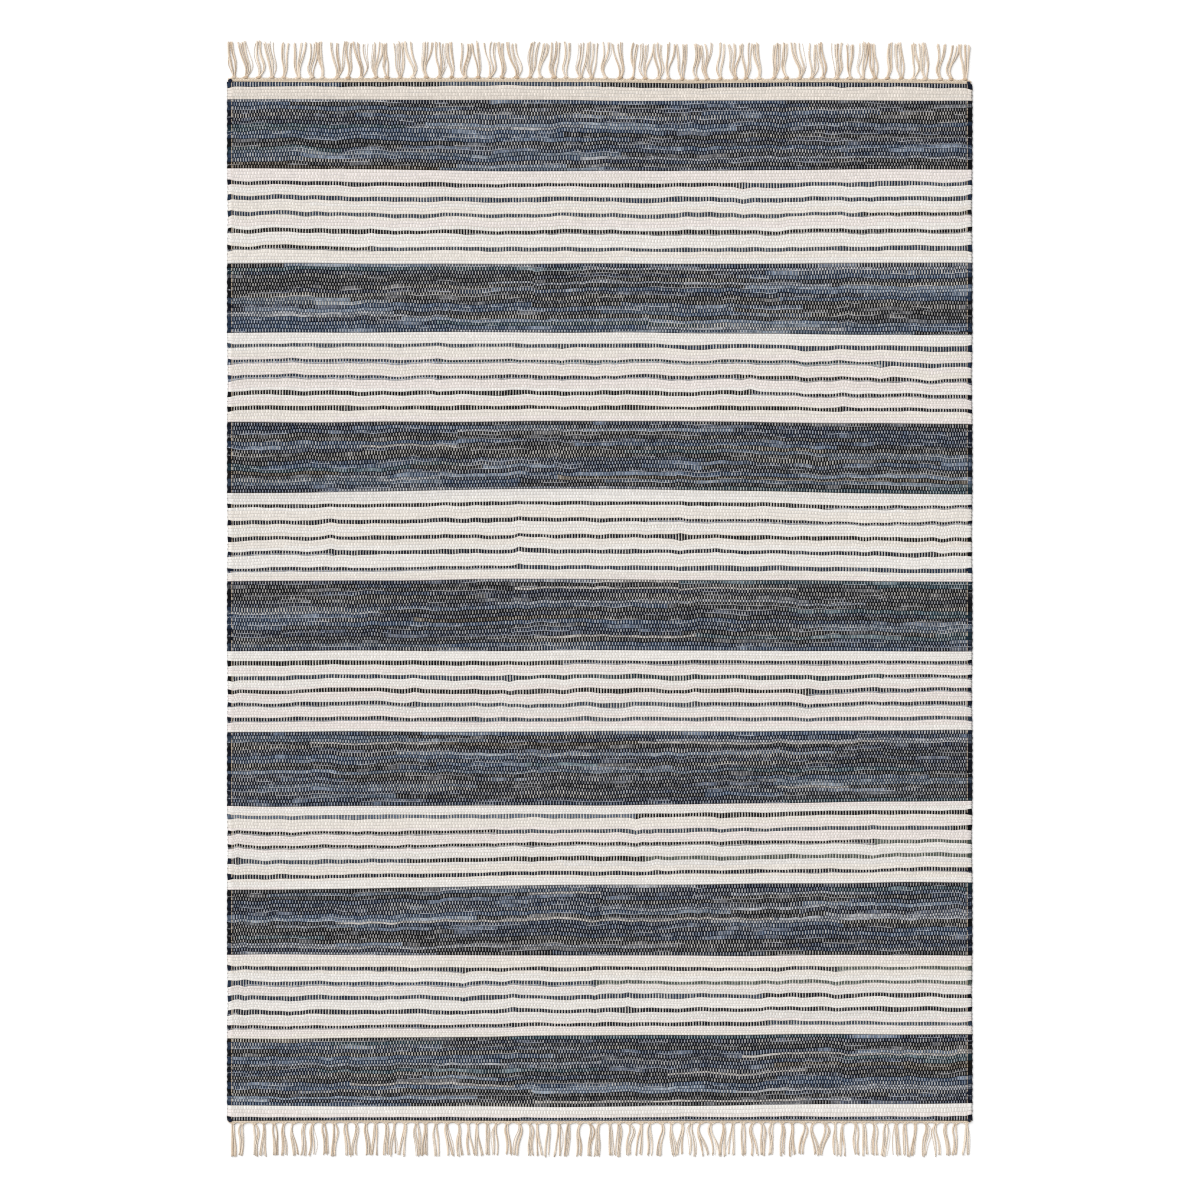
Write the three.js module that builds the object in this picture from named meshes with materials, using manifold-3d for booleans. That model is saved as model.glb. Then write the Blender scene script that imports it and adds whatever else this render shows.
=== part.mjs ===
// Striped rag rug, lying flat: a plain-woven cotton field with navy bands, and at each end a narrow
// tan heading whose warp ends are left as a fringe. Millimetres, +Z up, floor at z = 0.
// The rug's length runs along Y. The far end is at +Y, where each bundle of warp ends is knotted.
import * as THREE from 'three';
import { mergeVertices } from 'three/addons/utils/BufferGeometryUtils.js';
import Module from 'manifold-3d';

// Driving dimensions
const RUG_WIDTH = 1219;
const FIELD_LENGTH = 1700;
const FIELD_THICKNESS = 5;
const PIECE_GAP = 0.3;

// The selvedge is full where a navy band's rag turns round it, and drawn in a little between bands.
const SELVEDGE_DRAW_IN = 1.1;
const EDGE_ROUNDING = 1.4;

// Navy bands, measured from the far end of the field to the band's middle
const NAVY_BANDS = [
  { name: 'first', middle: 85, width: 115 },
  { name: 'second', middle: 355, width: 115 },
  { name: 'third', middle: 617, width: 113 },
  { name: 'fourth', middle: 876, width: 115 },
  { name: 'fifth', middle: 1124, width: 114 },
  { name: 'sixth', middle: 1375, width: 113 },
  { name: 'seventh', middle: 1620, width: 112 },
];

// How far each end line stands out from straight, from the left selvedge (0) to the right one (1)
const FAR_END_LINE = [
  { across: 0, out: 1.6 },
  { across: 0.12, out: 0.2 },
  { across: 0.32, out: 1.2 },
  { across: 0.5, out: 0.4 },
  { across: 0.62, out: -1.8 },
  { across: 0.78, out: 0.3 },
  { across: 0.9, out: -0.6 },
  { across: 1, out: -2.4 },
];
const NEAR_END_LINE = [
  { across: 0, out: 0.6 },
  { across: 0.2, out: -0.4 },
  { across: 0.45, out: 0.8 },
  { across: 0.7, out: -0.2 },
  { across: 1, out: 0.4 },
];

// Each end: side is its direction along Y, lean and splay are shares of the pitch, and a lock's root
// starts rootOut beyond the heading's edge, inside the knot, or just within the heading itself.
const FAR_END = {
  name: 'fringe_far',
  side: 1,
  line: FAR_END_LINE,
  headingDepth: 6.2,
  headingThickness: 3.6,
  bundles: 58,
  threeLockEvery: 1.7,
  strandLength: 58,
  lean: 0.42,
  splay: 0.34,
  rootOut: 2.6,
  rootSpread: 2.6,
  knot: { acrossRadius: 4.4, alongRadius: 3.9, height: 4.4 },
  seed: 11,
};
const NEAR_END = {
  name: 'fringe_near',
  side: -1,
  line: NEAR_END_LINE,
  headingDepth: 4.4,
  headingThickness: 3.6,
  bundles: 73,
  threeLockEvery: Infinity,
  strandLength: 56,
  lean: 0.34,
  splay: 0.2,
  rootOut: -1.5,
  rootSpread: 2.7,
  knot: null,
  seed: 29,
};

// A lock is a flat-bottomed, three-sided strand: it drops from its root and then lies on the floor.
const LOCK_STATIONS = [
  { along: 0, width: 2.4, base: 0.8, ridge: 3.2 },
  { along: 0.17, width: 2.8, base: 0, ridge: 3.0 },
  { along: 0.42, width: 3.2, base: 0, ridge: 2.8 },
  { along: 0.71, width: 3.5, base: 0, ridge: 2.6 },
  { along: 1, width: 3.6, base: 0, ridge: 2.2 },
];
const LOCK_GAP = 0.5;
const LOCK_WAVE = 2.2;
const TIP_UNEVENNESS = 3.5;
const ROOT_JITTER = 0.13;
const SPACING_PASSES = 40;
const HEADING_ARCH = 1.2;
const CORNER_ARCHES = 2;
const KNOT_SIDES = 6;
const KNOT_CLEARANCE = 0.2;
const OUTLINE_STEP = 60;

const PALE_COTTON = new THREE.MeshStandardMaterial({ color: 0xe6e1d8, roughness: 0.95, metalness: 0 });
const TAN_WARP_FAR = new THREE.MeshStandardMaterial({ color: 0xd8c2a6, roughness: 0.95, metalness: 0 });
const TAN_WARP_NEAR = new THREE.MeshStandardMaterial({ color: 0xd6bfa4, roughness: 0.95, metalness: 0 });

const wasm = await Module();
wasm.setup();

function seededRandom(seed) {
  let state = seed;
  return () => {
    state = (state * 1664525 + 1013904223) % 4294967296;
    return state / 4294967296;
  };
}

// How far a table's broken line stands out at one place across the rug
function lineAt(table, x) {
  const across = THREE.MathUtils.clamp(x / RUG_WIDTH + 0.5, 0, 1);
  const right = table.findIndex((row, i) => i > 0 && row.across >= across);
  const [a, b] = [table[right - 1], table[right]];
  return THREE.MathUtils.mapLinear(across, a.across, b.across, a.out, b.out);
}

function endY(end, x) {
  return end.side * (FIELD_LENGTH / 2 + lineAt(end.line, x));
}

// Field

// The selvedge's distance from the middle line at the corners, band edges and zone middles
function selvedgePoints() {
  const full = RUG_WIDTH / 2;
  const edges = NAVY_BANDS.map((band) => ({
    start: FIELD_LENGTH / 2 - band.middle + band.width / 2,
    stop: FIELD_LENGTH / 2 - band.middle - band.width / 2,
  }));
  const points = [];
  edges.forEach((band, i) => {
    points.push([full, band.start], [full, band.stop]);
    if (i + 1 < edges.length) {
      points.push([full - SELVEDGE_DRAW_IN, (band.stop + edges[i + 1].start) / 2]);
    }
  });
  return points;
}

function endPoints(end) {
  const steps = Math.round(RUG_WIDTH / OUTLINE_STEP);
  return Array.from({ length: steps + 1 }, (_, i) => {
    const x = (i / steps - 0.5) * RUG_WIDTH;
    return [x, endY(end, x)];
  });
}

// The whole field's outline, anticlockwise from the near left corner
function fieldOutline() {
  const right = selvedgePoints().reverse();
  const left = selvedgePoints().map(([x, y]) => [-x, y]);
  return [...endPoints(NEAR_END), ...right, ...endPoints(FAR_END).reverse(), ...left];
}

// A flat slab with a rounded rim: the outline is drawn in at top and bottom and full between them
function roundedSlab(outline, thickness, rounding) {
  const centre = outline.map(([x, y]) => new THREE.Vector2(x, y));
  const layers = [
    { inset: rounding, z: 0 },
    { inset: 0, z: thickness * 0.3 },
    { inset: 0, z: thickness * 0.7 },
    { inset: rounding, z: thickness },
  ];
  const count = centre.length;
  const inward = centre.map((_, i) => {
    const before = centre[(i + count - 1) % count];
    const after = centre[(i + 1) % count];
    const along = after.clone().sub(before).normalize();
    return new THREE.Vector2(-along.y, along.x);
  });
  const positions = layers.flatMap(({ inset, z }) =>
    centre.flatMap((point, i) => [point.x + inward[i].x * inset, point.y + inward[i].y * inset, z]));
  const indices = [];
  for (let layer = 0; layer + 1 < layers.length; layer++) {
    for (let i = 0; i < count; i++) {
      const a = layer * count + i;
      const b = layer * count + ((i + 1) % count);
      indices.push(a, b, b + count, a, b + count, a + count);
    }
  }
  const cap = THREE.ShapeUtils.triangulateShape(centre, []);
  const top = (layers.length - 1) * count;
  cap.forEach(([a, b, c]) => indices.push(a, c, b, top + a, top + b, top + c));
  return closedGeometry(positions, indices);
}

// Fringe

// Bundle roots stand at an even pitch across the heading, each strayed a little
function bundleRoots(end, random) {
  const pitch = RUG_WIDTH / end.bundles;
  return Array.from({ length: end.bundles }, (_, i) => {
    const stray = i === 0 || i === end.bundles - 1 ? 0 : (random() - 0.5) * 2 * ROOT_JITTER * pitch;
    return (i + 0.5) * pitch - RUG_WIDTH / 2 + stray;
  });
}

// Pushes neighbours apart, a little at a time, until a clear gap stands between all of them
function keepApart(centres, width) {
  const reach = (RUG_WIDTH - width) / 2;
  const last = centres.length - 1;
  for (let pass = 0; pass < SPACING_PASSES; pass++) {
    centres[0] = Math.max(centres[0], -reach);
    centres[last] = Math.min(centres[last], reach);
    for (let i = 1; i <= last; i++) {
      const missing = width + LOCK_GAP - (centres[i] - centres[i - 1]);
      if (missing > 0) {
        centres[i - 1] -= missing / 2;
        centres[i] += missing / 2;
      }
    }
  }
  return centres;
}

// Every lock's place across the rug at each station, from its root knot to its tip
function lockPaths(end, roots, random) {
  const pitch = RUG_WIDTH / end.bundles;
  const extrasBefore = (bundle) => Math.floor(bundle / end.threeLockEvery);
  const locks = roots.flatMap((root, bundle) => {
    const count = extrasBefore(bundle + 1) > extrasBefore(bundle) ? 3 : 2;
    const lean = (random() - 0.5) * 2 * end.lean * pitch;
    return Array.from({ length: count }, (_, i) => ({
      root,
      spread: i - (count - 1) / 2,
      lean,
      splay: random() * end.splay * pitch,
      wave: (random() - 0.5) * 2 * LOCK_WAVE,
      length: end.strandLength - random() * TIP_UNEVENNESS,
    }));
  });
  const stations = LOCK_STATIONS.map(({ along, width }) => {
    if (along === 0) {
      return locks.map((lock) => lock.root + lock.spread * end.rootSpread);
    }
    return keepApart(locks.map((lock) => {
      const apart = lock.spread * (width + LOCK_GAP + lock.splay * along);
      return lock.root + apart + lock.lean * along ** 1.5 + lock.wave * Math.sin(along * Math.PI * 1.5);
    }), width);
  });
  return locks.map((lock, i) => ({ ...lock, xs: stations.map((station) => station[i]) }));
}

// One three-sided lock along its stations, flat side down
function lockGeometry(end, lock) {
  const start = endY(end, lock.root) + end.side * (PIECE_GAP + end.headingDepth + end.rootOut);
  const positions = LOCK_STATIONS.flatMap(({ along, width, base, ridge }, i) => {
    const y = start + end.side * along * lock.length;
    const x = lock.xs[i];
    return [x - width / 2, y, base, x + width / 2, y, base, x, y, ridge];
  });
  const indices = [];
  for (let i = 0; i + 1 < LOCK_STATIONS.length; i++) {
    for (let side = 0; side < 3; side++) {
      const a = i * 3 + side;
      const b = i * 3 + ((side + 1) % 3);
      indices.push(a, b + 3, b, a, a + 3, b + 3);
    }
  }
  const tip = (LOCK_STATIONS.length - 1) * 3;
  indices.push(0, 1, 2, tip, tip + 2, tip + 1);
  return closedGeometry(positions, end.side > 0 ? indices : indices.reverse());
}

// The root knot of a bundle: a bead of flat faces that straddles the heading's outer edge
function knotGeometry(end, root) {
  const { acrossRadius, alongRadius, height } = end.knot;
  const y = endY(end, root) + end.side * (PIECE_GAP + end.headingDepth + end.rootOut);
  const ring = Array.from({ length: KNOT_SIDES }, (_, i) => {
    const angle = ((i + 0.5) / KNOT_SIDES) * Math.PI * 2;
    return [root + Math.cos(angle) * acrossRadius, y + Math.sin(angle) * alongRadius, height / 2];
  });
  const positions = [...ring.flat(), root, y, KNOT_CLEARANCE, root, y, height];
  const indices = ring.flatMap((_, i) => {
    const next = (i + 1) % KNOT_SIDES;
    return [i, KNOT_SIDES, next, i, next, KNOT_SIDES + 1];
  });
  return closedGeometry(positions, indices);
}

// The heading: a narrow strip just off the field's end, its outer edge arched in between the bundles
// and further in at the corners
function headingGeometry(end, roots) {
  const out = (x, depth) => endY(end, x) + end.side * (PIECE_GAP + depth);
  const inner = endPoints(end).map(([x]) => [x, out(x, 0)]);
  const bends = roots.flatMap((root, i) => {
    const between = i === 0 ? [] : [[(roots[i - 1] + root) / 2, 1]];
    return [...between, [root, 0]];
  });
  const corner = RUG_WIDTH / 2;
  const outer = [[-corner, CORNER_ARCHES], ...bends, [corner, CORNER_ARCHES]].map(([x, arch]) =>
    [x, out(x, end.headingDepth - arch * HEADING_ARCH)]);
  const loop = [...inner, ...outer.reverse()];
  const shape = new THREE.Shape(loop.map(([x, y]) => new THREE.Vector2(x, y)));
  const strip = new THREE.ExtrudeGeometry(shape, { depth: end.headingThickness, bevelEnabled: false });
  strip.deleteAttribute('normal');
  strip.deleteAttribute('uv');
  return mergeVertices(strip);
}

function closedGeometry(positions, indices) {
  const geometry = new THREE.BufferGeometry();
  geometry.setAttribute('position', new THREE.Float32BufferAttribute(positions, 3));
  geometry.setIndex(indices);
  return geometry;
}

function solidOf(geometry) {
  return new wasm.Manifold(new wasm.Mesh({
    numProp: 3,
    vertProperties: new Float32Array(geometry.attributes.position.array),
    triVerts: new Uint32Array(geometry.index.array),
  }));
}

// Joins a list of geometries two by two, so that no join carries the whole fringe each time
function joined(geometries) {
  let solids = geometries.map(solidOf);
  while (solids.length > 1) {
    solids = Array.from({ length: Math.ceil(solids.length / 2) }, (_, i) =>
      (2 * i + 1 < solids.length ? solids[2 * i].add(solids[2 * i + 1]) : solids[2 * i]));
  }
  const { vertProperties, triVerts } = solids[0].getMesh();
  return closedGeometry(vertProperties, Array.from(triVerts));
}

function fringeGeometry(end) {
  const random = seededRandom(end.seed);
  const roots = bundleRoots(end, random);
  const locks = lockPaths(end, roots, random);
  return joined([
    ...locks.map((lock) => lockGeometry(end, lock)),
    ...(end.knot ? roots.map((root) => knotGeometry(end, root)) : []),
    headingGeometry(end, roots),
  ]);
}

function namedMesh(name, geometry, material) {
  const mesh = new THREE.Mesh(geometry, material);
  mesh.name = name;
  return mesh;
}

const rug = new THREE.Group();
rug.add(namedMesh('woven_field', roundedSlab(fieldOutline(), FIELD_THICKNESS, EDGE_ROUNDING), PALE_COTTON));
rug.add(namedMesh(FAR_END.name, fringeGeometry(FAR_END), TAN_WARP_FAR));
rug.add(namedMesh(NEAR_END.name, fringeGeometry(NEAR_END), TAN_WARP_NEAR));

// The rug's own origin is the middle of its footprint, on the floor
const extent = new THREE.Box3().setFromObject(rug);
const middle = extent.getCenter(new THREE.Vector3());
rug.position.set(-middle.x, -middle.y, -extent.min.z);

export default rug;
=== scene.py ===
# %% [markdown]
# # A striped rag rug, woven, ended and fringed
# A rag rug is a plain weave. Strong thin cotton, the warp, runs the length of the loom, and strips of
# old cloth, the rags, are laid across it one row at a time. Each row is called a pick. We rebuild the
# rug in the order in which a weaver works: warp, rag picks, the two headings, and last the fringe.
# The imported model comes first, because it says how large the rug is and where it lies.

# %% Load the rug's frame
import bpy
import math
import numpy as np
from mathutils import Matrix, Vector


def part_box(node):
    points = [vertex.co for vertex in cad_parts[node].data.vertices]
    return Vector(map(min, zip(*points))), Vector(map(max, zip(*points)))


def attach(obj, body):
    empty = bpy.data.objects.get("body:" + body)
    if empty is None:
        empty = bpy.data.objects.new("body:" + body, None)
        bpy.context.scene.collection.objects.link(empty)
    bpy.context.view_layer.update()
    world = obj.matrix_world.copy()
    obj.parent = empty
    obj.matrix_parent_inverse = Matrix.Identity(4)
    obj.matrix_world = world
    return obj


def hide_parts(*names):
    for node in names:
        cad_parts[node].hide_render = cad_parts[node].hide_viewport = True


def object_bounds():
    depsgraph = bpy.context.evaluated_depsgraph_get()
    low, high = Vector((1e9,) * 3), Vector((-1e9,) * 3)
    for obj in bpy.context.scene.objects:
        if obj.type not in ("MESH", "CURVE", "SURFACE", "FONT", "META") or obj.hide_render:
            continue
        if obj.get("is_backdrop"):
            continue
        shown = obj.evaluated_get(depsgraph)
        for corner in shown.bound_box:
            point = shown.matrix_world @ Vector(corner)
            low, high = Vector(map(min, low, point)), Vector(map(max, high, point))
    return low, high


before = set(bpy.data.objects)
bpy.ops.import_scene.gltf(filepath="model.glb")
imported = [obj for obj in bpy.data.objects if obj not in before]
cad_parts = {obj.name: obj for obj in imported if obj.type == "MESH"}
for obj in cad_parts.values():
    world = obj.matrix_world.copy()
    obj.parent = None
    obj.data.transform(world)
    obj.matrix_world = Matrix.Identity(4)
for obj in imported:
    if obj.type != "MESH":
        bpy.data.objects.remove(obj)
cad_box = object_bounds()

MM = 0.001
field_low, field_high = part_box("woven_field")
print("the woven field measures", [round(side, 4) for side in field_high - field_low], "m")

# %% [markdown]
# ## Camera
# The photograph looks straight down, and the rug's long edges stay parallel in it. A long lens from
# high above gives that flat look and still lets the camera be moved round the rug later on. The pixel
# filter decides how far the light of one spot spreads over its neighbours. The weave is hardly more
# than a pixel wide here, so a tight filter keeps its threads apart, as a sharp lens does. Noise removal
# takes such fine dots for noise and smears them, so it is switched off. The light is soft enough for that.

# %% Look straight down
PHOTO_SIDE = 1200
RUG_PER_PIXEL = 1.6374 * MM
PHOTO_CENTRE = (0.5 * RUG_PER_PIXEL, -1.0 * RUG_PER_PIXEL)
SENSOR = 36.0
LENS = 85.0
PIXEL_SPREAD = 1.1

lens = bpy.data.cameras.new("overhead_camera")
lens.sensor_width = SENSOR
lens.lens = LENS
lens.clip_end = 60.0
camera = bpy.data.objects.new("overhead_camera", lens)
camera_height = PHOTO_SIDE * RUG_PER_PIXEL * LENS / SENSOR
camera.location = (*PHOTO_CENTRE, camera_height + field_high.z)
bpy.context.scene.collection.objects.link(camera)
bpy.context.scene.camera = camera
bpy.context.scene.cycles.filter_width = PIXEL_SPREAD
bpy.context.scene.cycles.use_denoising = False
print("the camera hangs", round(camera.location.z, 3), "m above the floor")

# %% [markdown]
# ## Light and floor
# The photograph is bright and almost without shadow, as under a big white ceiling. A pale sky colour
# gives that even light. One wide panel of light from the upper left adds just enough direction for
# each thread to show a lit and a shaded side. The panel is a sun lamp with a very wide face, because a
# sun is as strong at one end of the rug as at the other. Standard colour view keeps the whites clean.

# %% Soft studio light
SKY_STRENGTH = 0.58
PANEL_STRENGTH = 2.2
PANEL_FACE = math.radians(50)
PANEL_PLACE = Vector((-1.4, 1.2, 2.2))

bpy.context.scene.view_settings.view_transform = "Standard"
sky = bpy.data.worlds.new("white_room")
sky.use_nodes = True
sky_light = sky.node_tree.nodes["Background"].inputs
sky_light["Color"].default_value = (1.0, 1.0, 1.0, 1.0)
sky_light["Strength"].default_value = SKY_STRENGTH
bpy.context.scene.world = sky

panel = bpy.data.lights.new("window_panel", "SUN")
panel.angle = PANEL_FACE
panel.energy = PANEL_STRENGTH
panel_object = bpy.data.objects.new("window_panel", panel)
panel_object.location = PANEL_PLACE
panel_object.rotation_euler = (-PANEL_PLACE).to_track_quat("-Z", "Y").to_euler()
bpy.context.scene.collection.objects.link(panel_object)
print("the panel of light looks down from", tuple(PANEL_PLACE))

# %% A plain pale floor
FLOOR_SIDE = 40.0
FLOOR_DROP = 0.0002
FLOOR_GREY = (0.93, 0.93, 0.93, 1.0)
FLOOR_ROUGH = 0.9

half_floor = FLOOR_SIDE / 2
floor_mesh = bpy.data.meshes.new("pale_floor")
corner_signs = ((-1, -1), (1, -1), (1, 1), (-1, 1))
floor_corners = [(x * half_floor, y * half_floor, -FLOOR_DROP) for x, y in corner_signs]
floor_mesh.from_pydata(floor_corners, [], [(0, 1, 2, 3)])
floor = bpy.data.objects.new("pale_floor", floor_mesh)
bpy.context.scene.collection.objects.link(floor)
floor_paint = bpy.data.materials.new("pale_floor")
floor_paint.use_nodes = True
floor_look = floor_paint.node_tree.nodes["Principled BSDF"].inputs
floor_look["Base Color"].default_value = FLOOR_GREY
floor_look["Roughness"].default_value = FLOOR_ROUGH
floor_mesh.materials.append(floor_paint)
floor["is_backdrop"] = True
print("the floor is", FLOOR_SIDE, "m wide")

# %% [markdown]
# ## Warping the loom
# The warp is some five hundred cotton ends, side by side. They stand closer near the two edges,
# the selvedges, because each turn of the rag pulls them inwards. We only need one number for each
# end: how far across the rug it runs. Everything woven later takes its place from these numbers.

# %% Place the warp ends
RUG_WIDTH = 1219.0
WARP_GAPS = 520
EDGE_CROWDING = 0.11
EDGE_CROWD_SHARE = 0.06

gap_middles = (np.arange(WARP_GAPS) + 0.5) / WARP_GAPS * 2 - 1
gap_sizes = 1 - EDGE_CROWDING * np.exp(-(1 - np.abs(gap_middles)) / EDGE_CROWD_SHARE)
warp_x = np.concatenate([[0.0], np.cumsum(gap_sizes) / gap_sizes.sum()]) * RUG_WIDTH - RUG_WIDTH / 2
ENDS = len(warp_x)
end_numbers = np.arange(ENDS)
from_edge = np.minimum(end_numbers, ENDS - 1 - end_numbers)
print(ENDS, "warp ends,", round(float(np.diff(warp_x).mean()), 2), "mm apart")

# %% [markdown]
# ## Planning the stripes
# A weaver keeps a note of how many picks each stripe takes. Ours has a row for each part of the rug,
# and says where the part begins, in millimetres from the far end, at the left, middle and right. The
# beat of the loom is never quite even, so the three differ and the bands bow a little.

# %% The weaver's note
LEFT_OF_NOTE, MIDDLE_OF_NOTE, RIGHT_OF_NOTE = -564.0, -32.0, 557.0
PALE_PICKS = ["white"] * 4
STRIPE_PICKS = (PALE_PICKS + ["stripe"]) * 5 + PALE_PICKS
NOTE = [  # part, its picks, then where it begins at the left, middle and right
    ("far_edge", ["far_stripe"] + PALE_PICKS, 0.0, 0.0, 0.0),
    ("band_1", ["navy"] * 19, 27.8, 29.5, 29.5),
    ("stripes_1", STRIPE_PICKS, 140.8, 145.7, 142.4),
    ("band_2", ["navy"] * 19, 297.2, 297.8, 295.9),
    ("stripes_2", STRIPE_PICKS, 410.1, 409.7, 413.9),
    ("band_3", ["navy"] * 19, 557.8, 554.3, 559.8),
    ("stripes_3", STRIPE_PICKS, 672.6, 664.9, 674.2),
    ("band_4", ["navy"] * 19, 817.7, 813.1, 818.5),
    ("stripes_4", STRIPE_PICKS, 932.1, 930.2, 932.2),
    ("band_5", ["navy"] * 21, 1064.1, 1063.9, 1061.4),
    ("stripes_5", STRIPE_PICKS, 1185.3, 1184.8, 1176.3),
    ("band_6", ["navy"] * 19, 1324.0, 1314.8, 1310.6),
    ("stripes_6", STRIPE_PICKS, 1428.7, 1429.8, 1429.6),
    ("band_7", ["navy"] * 20, 1567.1, 1561.6, 1559.0),
    ("near_edge", ["white"] * 3 + ["near_stripe"], 1676.7, 1678.3, 1671.8),
]
pick_kinds = [kind for part in NOTE for kind in part[1]]
PICKS = len(pick_kinds)
first_picks = np.concatenate([[0], np.cumsum([len(part[1]) for part in NOTE])])
is_stripe = np.array(["stripe" in kind for kind in pick_kinds])[:, None]
print(PICKS, "picks in", len(NOTE), "parts")

# %% [markdown]
# The two ends of the cloth aren't straight either. These short tables say how far each one stands out,
# from the left selvedge at 0 to the right one at 1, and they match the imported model's own edges.

# %% The two end lines
FIELD_LENGTH = 1700.0
FAR_END_LINE = np.array([  # across, out
    (0.0, 1.6), (0.12, 0.2), (0.32, 1.2), (0.5, 0.4), (0.62, -1.8), (0.78, 0.3), (0.9, -0.6), (1.0, -2.4),
])
NEAR_END_LINE = np.array([  # across, out
    (0.0, 0.6), (0.2, -0.4), (0.45, 0.8), (0.7, -0.2), (1.0, 0.4),
])
length_shift = field_high.y / MM - FIELD_LENGTH / 2 - FAR_END_LINE[:, 1].max()


def end_line(side, x):
    """Where the cloth ends, along the rug: side is 1 at the far end and -1 at the near end."""
    table = FAR_END_LINE if side > 0 else NEAR_END_LINE
    out = np.interp(np.asarray(x) / RUG_WIDTH + 0.5, table[:, 0], table[:, 1])
    return side * (FIELD_LENGTH / 2 + out) + length_shift


print("the ends lie at", [round(float(end_line(side, 0.0)), 1) for side in (1, -1)], "mm")

# %% [markdown]
# ## Rags
# The navy bands are no one blue. They are whatever dark cloth was at hand: black, ink, denim, slate.
# A strip is folded as it is laid, and where the fold turns over, its paler wrong side shows. So each
# rag has two colours here, and a thickness, because jeans make a fatter pick than shirting.

# %% The rag basket
RAGS = [  # name, its use, how much of it there is, right side, wrong side, thickness
    ("bleached", "white", 5, (243, 240, 235), (236, 230, 225), 1.00),
    ("cream", "white", 3, (241, 235, 227), (233, 225, 216), 1.05),
    ("rose_white", "white", 3, (242, 234, 230), (233, 224, 218), 0.95),
    ("grey_white", "white", 1, (237, 234, 230), (225, 220, 216), 1.00),
    ("black", "navy", 7, (9, 11, 16), (131, 132, 138), 1.05),
    ("soot", "navy", 3, (18, 20, 27), (137, 141, 150), 0.95),
    ("ink", "navy", 6, (12, 16, 30), (126, 136, 156), 1.00),
    ("navy", "navy", 7, (18, 26, 42), (133, 147, 169), 1.05),
    ("denim", "navy", 5, (34, 48, 69), (148, 163, 184), 1.10),
    ("slate", "navy", 3, (50, 62, 78), (154, 166, 180), 0.95),
    ("washed", "navy", 2, (84, 97, 116), (184, 194, 205), 0.90),
    ("teal", "navy", 2, (24, 43, 53), (138, 158, 168), 1.00),
    ("umber", "navy", 1, (22, 18, 16), (144, 134, 122), 1.00),
    ("ash", "band", 3, (76, 82, 94), (214, 216, 221), 0.75),
    ("scrap_white", "band", 1, (112, 110, 110), (238, 232, 226), 0.65),
    ("sage", "stripe", 1, (74, 84, 78), (160, 168, 160), 0.90),
    ("tan_warp", "heading", 1, (236, 217, 192), (217, 193, 163), 1.00),
    ("unbleached", "far_white", 2, (237, 228, 218), (227, 217, 206), 1.00),
    ("raw_calico", "far_white", 1, (231, 222, 212), (221, 211, 200), 1.05),
]
RAG_NAMES = [rag[0] for rag in RAGS]
rag_thickness = np.array([rag[5] for rag in RAGS])
dice = np.random.default_rng(20)


def rags_for(*uses):
    """The numbers of the rags with these uses, and how likely each is to be picked up."""
    numbers = np.array([i for i, rag in enumerate(RAGS) if rag[1] in uses])
    shares = np.array([RAGS[i][2] for i in numbers], float)
    return numbers, shares / shares.sum()


print(len(RAGS), "kinds of rag:", ", ".join(RAG_NAMES))

# %% [markdown]
# Rags are wound on a shuttle, end to end, and the shuttle goes to and fro. So the rag that leaves a
# pick on the right comes back into the next pick from the right. We lay one long row of rags and then
# turn every second pick round. Each place where one rag meets the next makes a lump, the join. Some
# rags are folded off centre, so that a pale line of wrong side runs along one edge of the pick. The
# first pale picks by the far fringe are warmer than the rest, so they get unbleached rags.

# %% Lay the rags, to and fro
FOLD_MOST = 0.5


def wind_shuttle(picks, uses, shortest, longest):
    """Lays rags along these picks. Lengths are in widths of the rug. Returns rags, folds and joins."""
    numbers, shares = rags_for(*uses)
    along = np.empty(len(picks) * ENDS, int)
    folded = np.empty(len(along))
    joins = []
    start = 0
    while start < len(along):
        stop = start + int(dice.uniform(shortest, longest) * ENDS)
        along[start:stop] = dice.choice(numbers, p=shares)
        folded[start:stop] = FOLD_MOST * max(0.0, dice.uniform(-1.4, 1.0))
        joins.append(stop)
        start = stop
    laid, folds = along.reshape(len(picks), ENDS), folded.reshape(len(picks), ENDS)
    for rows in (laid, folds):
        rows[1::2] = rows[1::2, ::-1]
    places = []
    for join in joins[:-1]:
        row, column = divmod(join, ENDS)
        places.append((picks[row], column if row % 2 == 0 else ENDS - 1 - column))
    return laid, folds, places


SHUTTLES = [  # rags that it holds, the kind of pick that it lays, shortest and longest rag
    (("white",), "white", 0.9, 3.0),
    (("navy", "band"), "navy", 0.06, 0.6),
    (("navy", "stripe"), "stripe", 0.2, 0.9),
    (("navy",), "far_stripe", 0.08, 0.25),
    (("navy",), "near_stripe", 0.2, 0.6),
]
rag_laid = np.zeros((PICKS, ENDS), int)
rag_fold = np.zeros((PICKS, ENDS))
rag_joins = []
for part, first, last in zip(NOTE, first_picks[:-1], first_picks[1:]):
    for uses, kind, shortest, longest in SHUTTLES:
        picks = [p for p in range(first, last) if pick_kinds[p] == kind]
        if part[0] == "far_edge" and kind == "white":
            uses = ("far_white",)
        if picks:
            rag_laid[picks], rag_fold[picks], places = wind_shuttle(picks, uses, shortest, longest)
            rag_joins += places
print(len(rag_joins), "rags joined end to end")

# %% [markdown]
# ## How thick each pick lies
# A rag strip is torn by hand, so it swells and thins along its length. We draw soft random waves for
# every pick and add the lumps at the joins. A stripe's rag is also tucked back into itself at both
# selvedges, which thickens it there. Then we share out each part of the rug among its picks in
# proportion. A fat place in one pick pushes its neighbours aside, as it does on the loom.

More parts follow.
